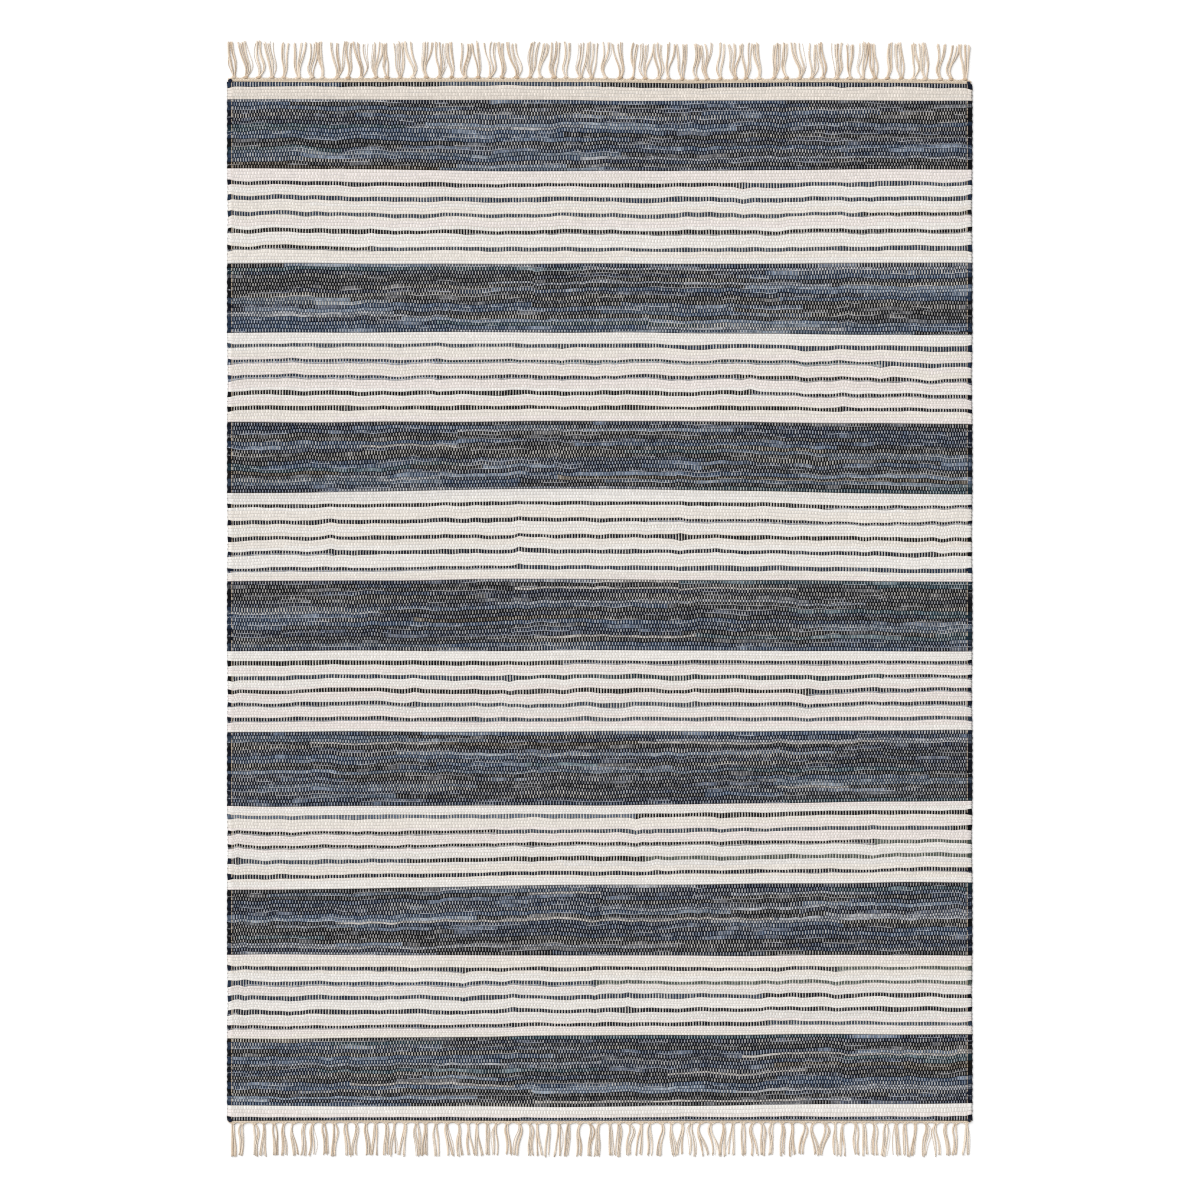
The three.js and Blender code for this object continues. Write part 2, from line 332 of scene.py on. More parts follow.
# %% Soft random waves
def soft_waves(rows, reach):
    """A row of soft swells for each pick, about one high, each swell some reach warp ends long."""
    window = np.exp(-0.5 * (np.arange(-3 * reach, 3 * reach + 1) / reach) ** 2)
    rough = dice.normal(size=(rows, ENDS + 6 * reach))
    soft = np.array([np.convolve(row, window, "valid") for row in rough])
    return soft / soft.std()


THICKNESS_OF = {"white": 1.0, "navy": 1.0, "stripe": 1.28, "far_stripe": 1.25, "near_stripe": 0.9}
SWELL_OF = {"white": 0.06, "navy": 0.10, "stripe": 0.10, "far_stripe": 0.10, "near_stripe": 0.08}
LUMP_SHARE = {"white": 0.2, "navy": 0.22, "stripe": 0.5, "far_stripe": 0.3, "near_stripe": 0.3}
LUMP_SIZES, LUMP_WIDTHS = (0.3, 1.3), (2.0, 5.0)
TUCKED_ENDS = 3.0
TUCKED_SWELL = 0.5

pick_thickness = np.array([THICKNESS_OF[kind] for kind in pick_kinds])[:, None] * rag_thickness[rag_laid]
swell = np.array([SWELL_OF[kind] for kind in pick_kinds])[:, None]
long_swells, short_swells = soft_waves(PICKS, 9), soft_waves(PICKS, 3)
pick_thickness = pick_thickness * np.exp(swell * long_swells + 0.5 * swell * short_swells)
for pick, end in rag_joins:
    size = LUMP_SHARE[pick_kinds[pick]] * dice.uniform(*LUMP_SIZES)
    width = dice.uniform(*LUMP_WIDTHS)
    pick_thickness[pick] *= 1 + size * np.exp(-(((end_numbers - end) / width) ** 2))
tucked = is_stripe * TUCKED_SWELL * np.exp(-((from_edge / TUCKED_ENDS) ** 2))
pick_thickness = pick_thickness * (1 + tucked)
print("picks are", pick_thickness.min().round(2), "to", pick_thickness.max().round(2), "times a plain one")

# %% [markdown]
# The pale picks aren't beaten alike. Now and then the weaver gives the four between two dark stripes a
# harder beat, so the stripes stand nearer one another there. This note holds how deep each such group
# of four lies. A plain pick is five millimetres deep, and all depths are shared out against that one.

# %% How hard the pale picks are beaten
PLAIN_DEPTH = 5.0
PALE_DEPTHS = {
    "stripes_1": (21.8, 17.4, 18.2, 21.4, 21.0, 20.1),
    "stripes_2": (18.5, 19.2, 18.8, 19.3, 17.8, 19.6),
    "stripes_3": (20.3, 20.3, 20.0, 17.7, 20.6, 16.0),
    "stripes_4": (15.9, 16.7, 15.7, 15.7, 17.4, 17.0),
    "stripes_5": (14.6, 18.8, 16.4, 17.0, 16.9, 17.0),
    "stripes_6": (18.8, 16.5, 16.0, 16.2, 17.5, 14.9),
}
for part, first in zip(NOTE, first_picks):
    for gap, depth in enumerate(PALE_DEPTHS.get(part[0], ())):
        start = first + gap * (len(PALE_PICKS) + 1)
        pick_thickness[start : start + len(PALE_PICKS)] *= depth / len(PALE_PICKS) / PLAIN_DEPTH
print(len(PALE_DEPTHS), "pale parts, each with its own beat")

# %% Share out the length among the picks
BEAT_WANDER = 0.45


def begins_at(part_number):
    """The line across the rug where a part begins, in millimetres along the rug."""
    if part_number == 0:
        return end_line(1, warp_x)
    if part_number == len(NOTE):
        return end_line(-1, warp_x)
    places = (LEFT_OF_NOTE, MIDDLE_OF_NOTE, RIGHT_OF_NOTE)
    bowed = np.interp(warp_x, places, NOTE[part_number][2:])
    eased = np.convolve(np.pad(bowed, 60, "edge"), np.ones(121) / 121, "valid")
    return end_line(1, 0.0) - eased + BEAT_WANDER * soft_waves(1, 22)[0]


part_lines = np.array([begins_at(number) for number in range(len(NOTE) + 1)])
pick_lines = np.empty((PICKS + 1, ENDS))
for number, (first, last) in enumerate(zip(first_picks[:-1], first_picks[1:])):
    heaped = np.cumsum(pick_thickness[first:last], axis=0)
    shares = np.vstack([np.zeros(ENDS), heaped / heaped[-1]])
    start, stop = part_lines[number], part_lines[number + 1]
    pick_lines[first : last + 1] = start + (stop - start) * shares
pick_depth = -np.diff(pick_lines, axis=0)
print("a pick is", pick_depth.mean().round(2), "mm deep, from", pick_depth.min().round(2))

# %% [markdown]
# ## The lie of the weave
# In a plain weave the rag goes over one warp end and under the next, and the next pick does the
# opposite. So the face is a brickwork of small rag humps, with the warp showing low between them. We
# give the mesh one column for each warp end and two rows for each pick. Then each hump, each warp
# dip and each groove between picks has a vertex of its own, and the weave is real, not painted.

# %% Heights of humps, dips and grooves
HUMP = 5.0
WARP_DIP = 4.5
GROOVE = 3.5
THICK_LIFT = 0.9
TALLEST = 7.5
EDGE_FALL = 1.3
EDGE_FALL_ENDS = 1.2
LOOP_ENDS = 3
LEAST_HUMP = 0.2
GROOVE_LIFT, GROOVE_LIFTS = 0.5, (-0.8, 1.5)

pick_numbers = np.arange(PICKS)[:, None]
rag_on_top = (end_numbers + pick_numbers) % 2 == 0
edge_drop = EDGE_FALL * np.exp(-from_edge / EDGE_FALL_ENDS)
lift = THICK_LIFT * (pick_depth / pick_depth.mean() - 1)
middle_height = np.where(rag_on_top | (from_edge < LOOP_ENDS), HUMP, WARP_DIP) + lift
middle_height = np.clip(middle_height, GROOVE + LEAST_HUMP, TALLEST) - edge_drop
groove_lift = np.vstack([lift[:1], (lift[:-1] + lift[1:]) / 2, lift[-1:]])
groove_height = GROOVE + GROOVE_LIFT * np.clip(groove_lift, *GROOVE_LIFTS) - edge_drop
print("humps stand up to", middle_height.max().round(1), "mm above the floor")

# %% Rows of points for the whole face
ROWS = 2 * PICKS + 1
face_y = np.empty((ROWS, ENDS))
face_z = np.empty((ROWS, ENDS))
face_y[0::2] = pick_lines
face_y[1::2] = (pick_lines[:-1] + pick_lines[1:]) / 2
face_z[0::2] = groove_height
face_z[1::2] = middle_height
print(ROWS, "rows of", ENDS, "points")

# %% [markdown]
# ## Selvedges
# At each edge the rag turns round the last warp ends and comes back, so two picks share one rounded
# loop, and the loops alternate from side to side. The edge is full along a navy band and is drawn in
# slightly between bands. One extra column of points, half way down, gives the loops their round side.

# %% Shape the edge loops
SELVEDGE_DRAW_IN = 1.1
LOOP_BULGE = 0.5
LOOPS_OUT = {-1: 1.2, 1: 2.0}
SIDE_SET_BACK = 1.2
SET_BACK_ENDS = 6.0
SIDE_HEIGHT, SIDE_WAVER = 2.3, 0.3

band_edges = [
    (part_lines[number].mean(), part_lines[number + 1].mean())
    for number, part in enumerate(NOTE) if "band" in part[0]
]
draw_stops = sorted(
    [(y, 0.0) for edges in band_edges for y in edges]
    + [((a[1] + b[0]) / 2, SELVEDGE_DRAW_IN) for a, b in zip(band_edges[:-1], band_edges[1:])]
)
row_y = face_y.mean(axis=1)
drawn_in = np.interp(row_y, [stop[0] for stop in draw_stops], [stop[1] for stop in draw_stops])
sideways = np.sign(warp_x) * np.exp(-from_edge / SET_BACK_ENDS)
face_x = warp_x - sideways * (SIDE_SET_BACK + drawn_in[:, None])
row_numbers = np.arange(ROWS)
loop_swell = {  # the left loops join picks 1 and 2, 3 and 4, the right ones 0 and 1, 2 and 3
    -1: LOOP_BULGE * np.cos((row_numbers / 2) * np.pi),
    1: LOOP_BULGE * np.cos((row_numbers / 2 + 1) * np.pi),
}
side_x = {
    side: side * (RUG_WIDTH / 2 + LOOPS_OUT[side] - LOOP_BULGE - drawn_in + loop_swell[side])
    for side in (-1, 1)
}
side_z = SIDE_HEIGHT + SIDE_WAVER * soft_waves(2, 2)[:, :1]
print("the edges reach", side_x[1].max().round(1), "mm from the middle")

# %% [markdown]
# ## Making the mesh
# The face is cut into 13 stretches along the colour changes, only so that no piece is too heavy.
# Neighbours share the same line of points, so no seam shows. Every stretch is a closed, thin slab. Its
# underside needs less detail, one point for every eighth warp end, and is stitched to the face with fans.
# Large meshes are built fastest from arrays of numbers, so we gather points and faces with numpy.

# %% A helper that turns arrays into a mesh piece
def mesh_piece(name, points, faces, maps, values, material):
    """Makes a piece. faces: index arrays. maps: corner maps by name. values: face numbers by name."""
    mesh = bpy.data.meshes.new(name)
    corners = np.concatenate([face.ravel() for face in faces])
    sizes = np.concatenate([np.full(len(face), face.shape[1]) for face in faces])
    mesh.vertices.add(len(points))
    mesh.vertices.foreach_set("co", (points * MM).astype(np.float32).ravel())
    mesh.loops.add(len(corners))
    mesh.loops.foreach_set("vertex_index", corners.astype(np.int32))
    mesh.polygons.add(len(sizes))
    mesh.polygons.foreach_set("loop_start", np.concatenate([[0], np.cumsum(sizes)[:-1]]).astype(np.int32))
    mesh.update(calc_edges=True)
    mesh.shade_smooth()
    for map_name, places in maps.items():
        layer = mesh.uv_layers.new(name=map_name)
        layer.uv.foreach_set("vector", places.astype(np.float32).ravel())
    mesh.uv_layers[0].active_render = True
    mesh.uv_layers.active_index = 0
    for value_name, numbers in values.items():
        attribute = mesh.attributes.new(value_name, "FLOAT", "FACE")
        attribute.data.foreach_set("value", numbers.astype(np.float32))
    mesh.materials.append(material)
    piece = bpy.data.objects.new(name, mesh)
    bpy.context.scene.collection.objects.link(piece)
    return piece


def abreast(*columns):
    """Columns of numbers side by side, as the rows of one table."""
    return np.stack(columns, axis=-1)


def quads(grid):
    """The four-cornered faces between neighbouring rows and columns of a grid of point numbers."""
    return abreast(grid[:-1, :-1], grid[1:, :-1], grid[1:, 1:], grid[:-1, 1:]).reshape(-1, 4)


print("arrays can become meshes now")

# %% [markdown]
# Each stretch is a slab: the face, a side column at each selvedge, and a coarser underside. The
# underside doesn't lie dead flat on the floor, so it gets shallow waves. Along with every point we note
# which thread it lies on, because the material will want to know.

# %% The points of one stretch
UNDER_EVERY = 8
SIDE_STEP = 4
UNDER_WAVES = (0.15, 0.11, 0.7)  # height, how close across, how close along


def stretch_points(x, y, z, sides, first_pick):
    """The points, their threads, then the grids of point numbers: face, left, right and underside."""
    rows = len(y)
    under_rows = np.arange(0, rows, 2)
    under_columns = np.arange(0, ENDS, UNDER_EVERY)
    under_x = x[np.ix_(under_rows, under_columns)]
    under_y = y[np.ix_(under_rows, under_columns)]
    tall, close_x, close_y = UNDER_WAVES
    under_z = tall * (1 + np.sin(under_x * close_x) * np.cos(under_y * close_y))
    points = np.vstack([
        abreast(x, y, z).reshape(-1, 3),
        abreast(sides[0][0], y[:, 0], sides[0][1]),
        abreast(sides[1][0], y[:, -1], sides[1][1]),
        abreast(under_x, under_y, under_z).reshape(-1, 3),
    ])
    thread_v = first_pick + np.arange(rows) / 2
    u, v = np.meshgrid(np.arange(ENDS, dtype=float), thread_v)
    under_u, under_v = np.meshgrid(under_columns.astype(float), thread_v[under_rows])
    threads = np.vstack([
        abreast(u.ravel(), v.ravel()),
        abreast(np.full(rows, -SIDE_STEP), thread_v),
        abreast(np.full(rows, ENDS - 1 + SIDE_STEP), thread_v),
        abreast(under_u.ravel(), under_v.ravel()),
    ])
    face = np.arange(rows * ENDS).reshape(rows, ENDS)
    left = rows * ENDS + np.arange(rows)
    under = left[-1] + rows + 1 + np.arange(under_x.size).reshape(under_x.shape)
    return points, threads, face, left, left + rows, under


print("the underside has a point for every", UNDER_EVERY, "warp ends")

# %% [markdown]
# Each corner of the mesh also needs two flat maps. "Threads" counts warp ends across and picks along,
# so that the material knows which thread it is colouring. "OFBake" spreads the same faces over a
# square picture: the face in four strips, then the underside, then the two cut ends.

# %% The faces of one stretch
STRIPS = 4
MAP_EDGE = 0.004
STRIP_TALL = 0.2
UNDER_TALL = 0.14
WALL_TALL = 0.018


def fans(top, bottom):
    """Three-cornered faces that stitch a fine row of points to a coarse one."""
    faces = []
    step = (len(top) - 1) // (len(bottom) - 1)
    half = step // 2
    for i in range(len(bottom) - 1):
        fine = top[i * step : (i + 1) * step + 1]
        faces += [(fine[j], fine[j + 1], bottom[i]) for j in range(half)]
        faces += [(fine[half], bottom[i + 1], bottom[i])]
        faces += [(fine[j], fine[j + 1], bottom[i + 1]) for j in range(half, step)]
    return np.array(faces)


def map_strip(places, low_u, high_u, low_v, high_v, bottom, tall):
    """Squeezes thread numbers into one strip of the unit square."""
    u = MAP_EDGE + (places[:, 0] - low_u) / (high_u - low_u) * (1 - 2 * MAP_EDGE)
    v = bottom + MAP_EDGE + (places[:, 1] - low_v) / (high_v - low_v) * (tall - 2 * MAP_EDGE)
    return abreast(u, v)


def stretch_faces(threads, face, left, right, under):
    """The faces in groups, and where the corners of each group lie on the OFBake map."""
    groups, bake_maps = [], []
    full_u = (-SIDE_STEP, ENDS - 1 + SIDE_STEP)
    full_v = threads[left[[0, -1]], 1]
    whole = np.column_stack([left, face, right])
    strip_columns = (ENDS - 1) // STRIPS
    for strip in range(STRIPS):
        start = strip * strip_columns + (1 if strip else 0)
        stop = (strip + 1) * strip_columns + 1 + (1 if strip == STRIPS - 1 else 0)
        columns = whole[:, start : stop + 1]
        strip_u = threads[columns[0, [0, -1]], 0]
        groups.append(quads(columns))
        places = threads[groups[-1].ravel()]
        bake_maps.append(map_strip(places, *strip_u, *full_v, strip * STRIP_TALL, STRIP_TALL))
    for group in (quads(under)[:, ::-1], fans(left, under[:, 0])[:, ::-1], fans(right, under[:, -1])):
        groups.append(group)
        places = threads[group.ravel()]
        bake_maps.append(map_strip(places, *full_u, *full_v, STRIPS * STRIP_TALL, UNDER_TALL))
    for row, turn in ((0, 1), (-1, -1)):
        corners = [(left[row], face[row, 0], under[row, 0]), (face[row, -1], right[row], under[row, -1])]
        wall = np.vstack([fans(face[row], under[row]), corners])[:, ::turn]
        places = threads[wall.ravel()].copy()
        places[:, 1] = wall.ravel() < under[0, 0]
        bottom = STRIPS * STRIP_TALL + UNDER_TALL + (0 if turn > 0 else WALL_TALL + MAP_EDGE)
        groups.append(wall)
        bake_maps.append(map_strip(places, *full_u, 0, 1, bottom, WALL_TALL))
    return groups, bake_maps


print("the face is mapped in", STRIPS, "strips")

# %% [markdown]
# With its points, faces and maps at hand, a stretch is soon woven. Each face takes its rag, and all else
# that the material has to know of the cloth, from the crossing under its middle.

# %% The loom: a helper for one woven stretch
def woven_piece(name, x, y, z, sides, first_pick, cloth, material):
    """A closed stretch of weave. sides: the left and right columns, as (x, z). cloth: numbers by name."""
    points, threads, *grids = stretch_points(x, y, z, sides, first_pick)
    groups, bake_maps = stretch_faces(threads, *grids)
    middles = np.concatenate([threads[group].mean(axis=1) for group in groups])
    pick = np.clip(np.floor(middles[:, 1]).astype(int) - first_pick, 0, len(y) // 2 - 1)
    end = np.clip(np.round(middles[:, 0]).astype(int), 0, ENDS - 1)
    maps = {
        "Threads": np.concatenate([threads[group.ravel()] for group in groups]),
        "OFBake": np.concatenate(bake_maps),
    }
    values = {value_name: numbers[pick, end] for value_name, numbers in cloth.items()}
    return mesh_piece(name, points, groups, maps, values, material)


print("the loom is ready")

# %% [markdown]
# ## The rag weave's finish
# The material has to know, at each spot, which warp end and which pick it is on. The "Threads" map
# gives both as plain numbers, so rounding gives the thread and the remainder says how far off its
# middle we are. From those we draw a soft oval of warp wherever the warp is on top, paint shade into
# the grooves, and leave the rest to the rag's own colour. A material's sums are nodes joined by links.
# The class below lets us write such sums with plus and minus signs, and makes the nodes as it goes.

# %% Helpers for node sums
class Value:
    """A number or colour in a material. Sums with it are written plainly, and each becomes a node."""

    def __init__(self, tree, socket):
        self.tree = tree
        self.socket = socket

    def step(self, operation, *others):
        """One step of arithmetic with this value."""
        return sum_node(self.tree, operation, self, *others)

    def __add__(self, other):
        return self.step("ADD", other)

    def __sub__(self, other):
        return self.step("SUBTRACT", other)

    def __rsub__(self, other):
        return sum_node(self.tree, "SUBTRACT", other, self)

    def __mul__(self, other):
        return self.step("MULTIPLY", other)

    def __truediv__(self, other):
        return self.step("DIVIDE", other)

    def __pow__(self, other):
        return self.step("POWER", other)

    def __abs__(self):
        return self.step("ABSOLUTE")


def link_or_set(socket, value):
    """Joins a socket to another node's value, or sets it to a plain number or colour."""
    if isinstance(value, Value):
        value.tree.links.new(value.socket, socket)
    else:
        socket.default_value = value


def sum_node(tree, operation, *values):
    """The node for one step of arithmetic."""
    node = tree.nodes.new("ShaderNodeMath")
    node.operation = operation
    for socket, value in zip(node.inputs, values):
        link_or_set(socket, value)
    return Value(tree, node.outputs[0])


def soft_step(value, low, high):
    """0 below low, 1 above high, and a soft rise between them."""
    node = value.tree.nodes.new("ShaderNodeMapRange")
    node.interpolation_type = "SMOOTHSTEP"
    for socket, number in zip(node.inputs, (value, low, high, 0.0, 1.0)):
        link_or_set(socket, number)
    return Value(value.tree, node.outputs[0])


def blend_colours(tree, share, first, second, how="MIX"):
    """The first colour with a share of the second laid over it."""
    node = tree.nodes.new("ShaderNodeMix")
    node.data_type = "RGBA"
    node.blend_type = how
    for number, value in ((0, share), (6, first), (7, second)):
        link_or_set(node.inputs[number], value)
    return Value(tree, node.outputs[2])


def place_node(x, y, z=0.0):
    """Three numbers as one place, for a pattern to be read at. y has to be a value of the material."""
    node = y.tree.nodes.new("ShaderNodeCombineXYZ")
    for socket, value in zip(node.inputs, (x, y, z)):
        link_or_set(socket, value)
    return Value(y.tree, node.outputs[0])


def in_light(colour, light):
    """A colour made darker or lighter by a share of light."""
    return blend_colours(light.tree, 1.0, colour, place_node(light, light, light), "MULTIPLY")


def face_number(tree, value_name):
    """A number that the mesh carries on each of its faces."""
    node = tree.nodes.new("ShaderNodeAttribute")
    node.attribute_name = value_name
    return Value(tree, node.outputs["Fac"])


def noise_at(place, scale, detail=2.0):
    """Soft random values from 0 to 1, mostly near a half."""
    node = place.tree.nodes.new("ShaderNodeTexNoise")
    for name, value in (("Vector", place), ("Scale", scale), ("Detail", detail)):
        link_or_set(node.inputs[name], value)
    return Value(place.tree, node.outputs["Fac"])


def daylight(colour):
    """A colour given as 0 to 255 on a screen, as the amounts of light that the renderer works with."""
    parts = [part / 255 for part in colour]
    return [part / 12.92 if part <= 0.04045 else ((part + 0.055) / 1.055) ** 2.4 for part in parts] + [1.0]


# %% [markdown]
# The rag and the warp are both matt cotton, so they begin and end alike. Each reads the "Threads" map,
# works out a colour, a roughness and a height, and hands them to the shader. The height only tilts
# the light a little, for the eye that comes close. Sheen is the faint glow of loose fibres.

# %% Helpers that begin and end a cotton
def new_cotton(name):
    """A fresh material. Returns it, its tree, and the two numbers of the threads map."""
    material = bpy.data.materials.new(name)
    material.use_nodes = True
    tree = material.node_tree
    threads = tree.nodes.new("ShaderNodeUVMap")
    threads.uv_map = "Threads"
    split = tree.nodes.new("ShaderNodeSeparateXYZ")
    tree.links.new(threads.outputs["UV"], split.inputs[0])
    return material, tree, Value(tree, split.outputs[0]), Value(tree, split.outputs[1])


def finish_cotton(tree, colour, rough, height, bump, gloss, sheen):
    """Hands the sums to the shader. bump: strength and metres. sheen: how much and how rough."""
    relief = tree.nodes.new("ShaderNodeBump")
    cotton = tree.nodes["Principled BSDF"]
    tree.links.new(relief.outputs["Normal"], cotton.inputs["Normal"])
    for node, name, value in (
        (relief, "Height", height), (relief, "Strength", bump[0]), (relief, "Distance", bump[1]),
        (cotton, "Base Color", colour), (cotton, "Roughness", rough), (cotton, "Specular IOR Level", gloss),
        (cotton, "Sheen Weight", sheen[0]), (cotton, "Sheen Roughness", sheen[1]),
    ):
        link_or_set(node.inputs[name], value)


print("helpers for sums, colours and cottons are ready")

# %% [markdown]
# A colour ramp serves as the rag basket: one stop for each rag, with hard edges between the stops. The
# mesh carries the number of its rag on each face, and the ramp turns that number into a colour.

# %% The basket as a colour ramp
def basket_ramp(rag_number, side):
    """The colour of a rag's right side (3) or wrong side (4)."""
    tree = rag_number.tree
    node = tree.nodes.new("ShaderNodeValToRGB")
    node.color_ramp.interpolation = "CONSTANT"
    stops = node.color_ramp.elements
    while len(stops) < len(RAGS):
        stops.new(0.5)
    for number, rag in enumerate(RAGS):
        stops[number].position = number / len(RAGS)
        stops[number].color = daylight(rag[side])
    link_or_set(node.inputs["Fac"], rag_number / float(len(RAGS)))
    return Value(tree, node.outputs["Color"])


print("the basket holds", len(RAGS), "colours for each side of a rag")

# %% [markdown]
# Now the weave itself. First the material finds its place. Threads are never quite where they should
# be, and they slant a little, so the map's numbers are shifted by soft noise before they are rounded.
# The third number of a place only picks another slice of the noise, so that no two patterns are alike.
# Every crossing also has its own luck, because no two ovals of warp are quite as wide or as clean. All
# lengths here are in threads: one is the step from a warp end, or from a pick, to the next.

# %% Which threads cross at a spot
WANDER_ACROSS, WANDER_ALONG = 0.5, 0.22
MOST_LEAN = 0.7
DARK_FROM_PALE = 0.9


class Spot:
    """What is known at one spot of the cloth, gathered step by step."""


def read_spot(tree, u, v):
    """A spot with the numbers of map and mesh, and what follows from them."""
    spot = Spot()
    spot.u, spot.v = u, v
    spot.rag, spot.turned, spot.fold, spot.bare = (
        face_number(tree, part) for part in ("rag", "turned", "fold", "bare"))
    spot.covered = 1.0 - spot.bare
    spot.right_side = basket_ramp(spot.rag, 3)
    spot.wrong_side = basket_ramp(spot.rag, 4)
    paleness = tree.nodes.new("ShaderNodeRGBToBW")
    link_or_set(paleness.inputs["Color"], spot.right_side)
    spot.darkness = Value(tree, paleness.outputs[0]) * -DARK_FROM_PALE + 1.0

    wander = noise_at(place_node(u, v, 3.0), 0.9) - 0.5
    wander_up = noise_at(place_node(u, v, 9.0), 1.3) - 0.5
    v_moved = wander_up * WANDER_ALONG + v
    pick = v_moved.step("FLOOR")
    spot.in_pick = v_moved - pick
    off_pick = spot.in_pick - 0.5
    lean = noise_at(place_node(u * 0.06, pick * 0.5, 11.0), 1.0) - 0.5
    u_moved = wander * WANDER_ACROSS + u + lean * MOST_LEAN * off_pick
    end = u_moved.step("ROUND")
    spot.from_pick, spot.from_end = abs(off_pick), abs(u_moved - end)
    spot.warp_on_top = (end + pick + 1000.0).step("MODULO", 2.0)

    crossing_dice = tree.nodes.new("ShaderNodeTexWhiteNoise")
    crossing_dice.noise_dimensions = "2D"
    link_or_set(crossing_dice.inputs["Vector"], place_node(end, pick))
    spot.luck = Value(tree, crossing_dice.outputs["Value"])
    spot.unlucky = spot.luck * spot.darkness
    return spot


print("each of the", PICKS * ENDS, "crossings gets its own luck")

# %% [markdown]
# The warp shows as upright ovals, in brick order. In a lone dark pick an oval is bare to its ends, and
# widest there. By the selvedge only rag shows. Beyond the fourth end one warp line shows without a
# break in some picks, as it does where two ends run together.

# %% Where the warp shows
OVAL_WIDE = 0.47
OVAL_NARROWER = 0.14
OVAL_TALL = 0.44
OVAL_FLARE = 0.14
OVAL_EDGE = (0.75, 1.1)
EDGE_RAG_ENDS = 2.5
LAST_END = float(WARP_GAPS)
LINE_BREAKS = (0.36, 0.46)


def find_warp(spot):
    """Adds how far the spot is from its oval's middle, if it is on the line, and how much warp shows."""
    flare = (spot.from_pick * 2.0) ** 4.0 * spot.bare * OVAL_FLARE
    half_wide = flare + (spot.unlucky * -OVAL_NARROWER + OVAL_WIDE)
    upwards = (spot.from_pick / OVAL_TALL) ** 4.0
    spot.spread = upwards * spot.covered + (spot.from_end / half_wide) ** 2.0
    oval = 1.0 - soft_step(spot.spread, *OVAL_EDGE)
    edge = spot.u.step("MINIMUM", LAST_END - spot.u)
    inside = edge.step("GREATER_THAN", EDGE_RAG_ENDS + 1.0)
    spot.on_line = edge.step("COMPARE", EDGE_RAG_ENDS + 0.5, 0.5)
    line_shows = soft_step(noise_at(place_node(0.0, spot.v, 4.0), 0.8), *LINE_BREAKS) * spot.darkness
    spot.warp_shows = oval * (spot.warp_on_top * inside).step("MAXIMUM", spot.on_line * line_shows)


print("ovals of warp are", 2 * OVAL_WIDE, "ends wide and", 2 * OVAL_TALL, "picks tall")

# %% [markdown]
# The rag shows its right side, and its wrong side where it turns over, first round each hump. Where
# its fold lies on top, a pale line shows. Dye takes unevenly, from stretch to stretch and from hump to
# hump, and most so on dark rags.

# %% The rag's colour
FOLD_PALE = (226, 227, 233)
FOLD_WHITENS = 0.45
FOLD_SHOWS = 0.75
MOST_TURNED = 0.6
SUNKEN_RAG = 0.7
DYE_LUCK, DYE_MIDDLE = 0.7, 0.85


def rag_colour(tree, spot):
    """The rag at a spot, before any shade."""
    ragged = noise_at(place_node(spot.u * 0.35, spot.v), 2.0)
    turn = spot.spread.step("MINIMUM", 2.0) * 0.9 + ragged
    on_top = spot.warp_on_top * -SUNKEN_RAG + 1.0
    turn = soft_step(turn * spot.turned, 0.2, 0.9) * MOST_TURNED * on_top
    rag = blend_colours(tree, turn, spot.right_side, spot.wrong_side)
    folded = soft_step(spot.in_pick + spot.fold, 1.0, 1.14) * FOLD_SHOWS * on_top
    edge_colour = blend_colours(tree, FOLD_WHITENS, spot.wrong_side, daylight(FOLD_PALE))
    rag = blend_colours(tree, folded, rag, edge_colour)
    dye = noise_at(place_node(spot.u * 0.12, spot.v * 0.8, 1.0), 1.0, 3.0)
    dye = dye + spot.luck * DYE_LUCK - DYE_MIDDLE
    return in_light(rag, dye * spot.darkness + 1.0)


print("the fold of a rag shows", FOLD_SHOWS, "of its pale colour")

# %% [markdown]
# The warp is a cream cotton, a little tan. Its twist shows in two tones, a lit one and a painted shaded
# one. Some of each dark rag has rubbed off on it, and in the bands the same mix also paints the shade
# that the crowding dark picks throw on it. It lies lower among dark rags, in their shade, so its colour
# is painted a little darker there.

# %% The warp's colour
WARP_CREAM = (230, 225, 216)
WARP_SHADED = (204, 197, 186)
WARP_TAN = (176, 154, 124)
WARP_SHADE_AMONG_DARK = 0.08
UNCLEAN_WARP = 0.3
STAIN_AND_SHADE_LEAST, STAIN_AND_SHADE_RANGE = 0.4, 0.6
LINE_TAN = 0.6


def warp_colour(tree, spot, fibre):
    """The warp at a spot, with its own painted shade but before the groove shade. fibre: noise that runs
    along it.
    """
    # The cream and the shaded tone are a lit tone and a painted shaded tone of the warp's twist, mixed by
    # noise along it.
    warp = blend_colours(tree, soft_step(fibre, 0.3, 0.7), daylight(WARP_SHADED), daylight(WARP_CREAM))
    # Rag colour rubbed off on the warp; in the bands the same mix also paints the shade of the crowding
    # dark picks.
    stain_and_shade = soft_step(noise_at(place_node(spot.u * 0.2, spot.v, 5.0), 1.0), 0.25, 0.75)
    stain_and_shade = (stain_and_shade * STAIN_AND_SHADE_RANGE + STAIN_AND_SHADE_LEAST) * spot.covered
    warp = blend_colours(tree, stain_and_shade, warp, spot.wrong_side)
    # Painted shade: among dark rags the warp lies low, and its colour is darkened there.
    warp = in_light(warp, spot.unlucky * -UNCLEAN_WARP + (spot.darkness * -WARP_SHADE_AMONG_DARK + 1.0))
    return blend_colours(tree, spot.on_line * LINE_TAN, warp, daylight(WARP_TAN))


print("the warp is", WARP_CREAM, "where it is clean")

# %% [markdown]
# Last come the painted shade and the small relief. Grooves between picks, and between the humps, are in
# shade, and deeper so among dark rags; that shade is painted into the colour, on top of the shade that
# the mesh's real grooves give. Fine fibres run along the rag and along the warp.

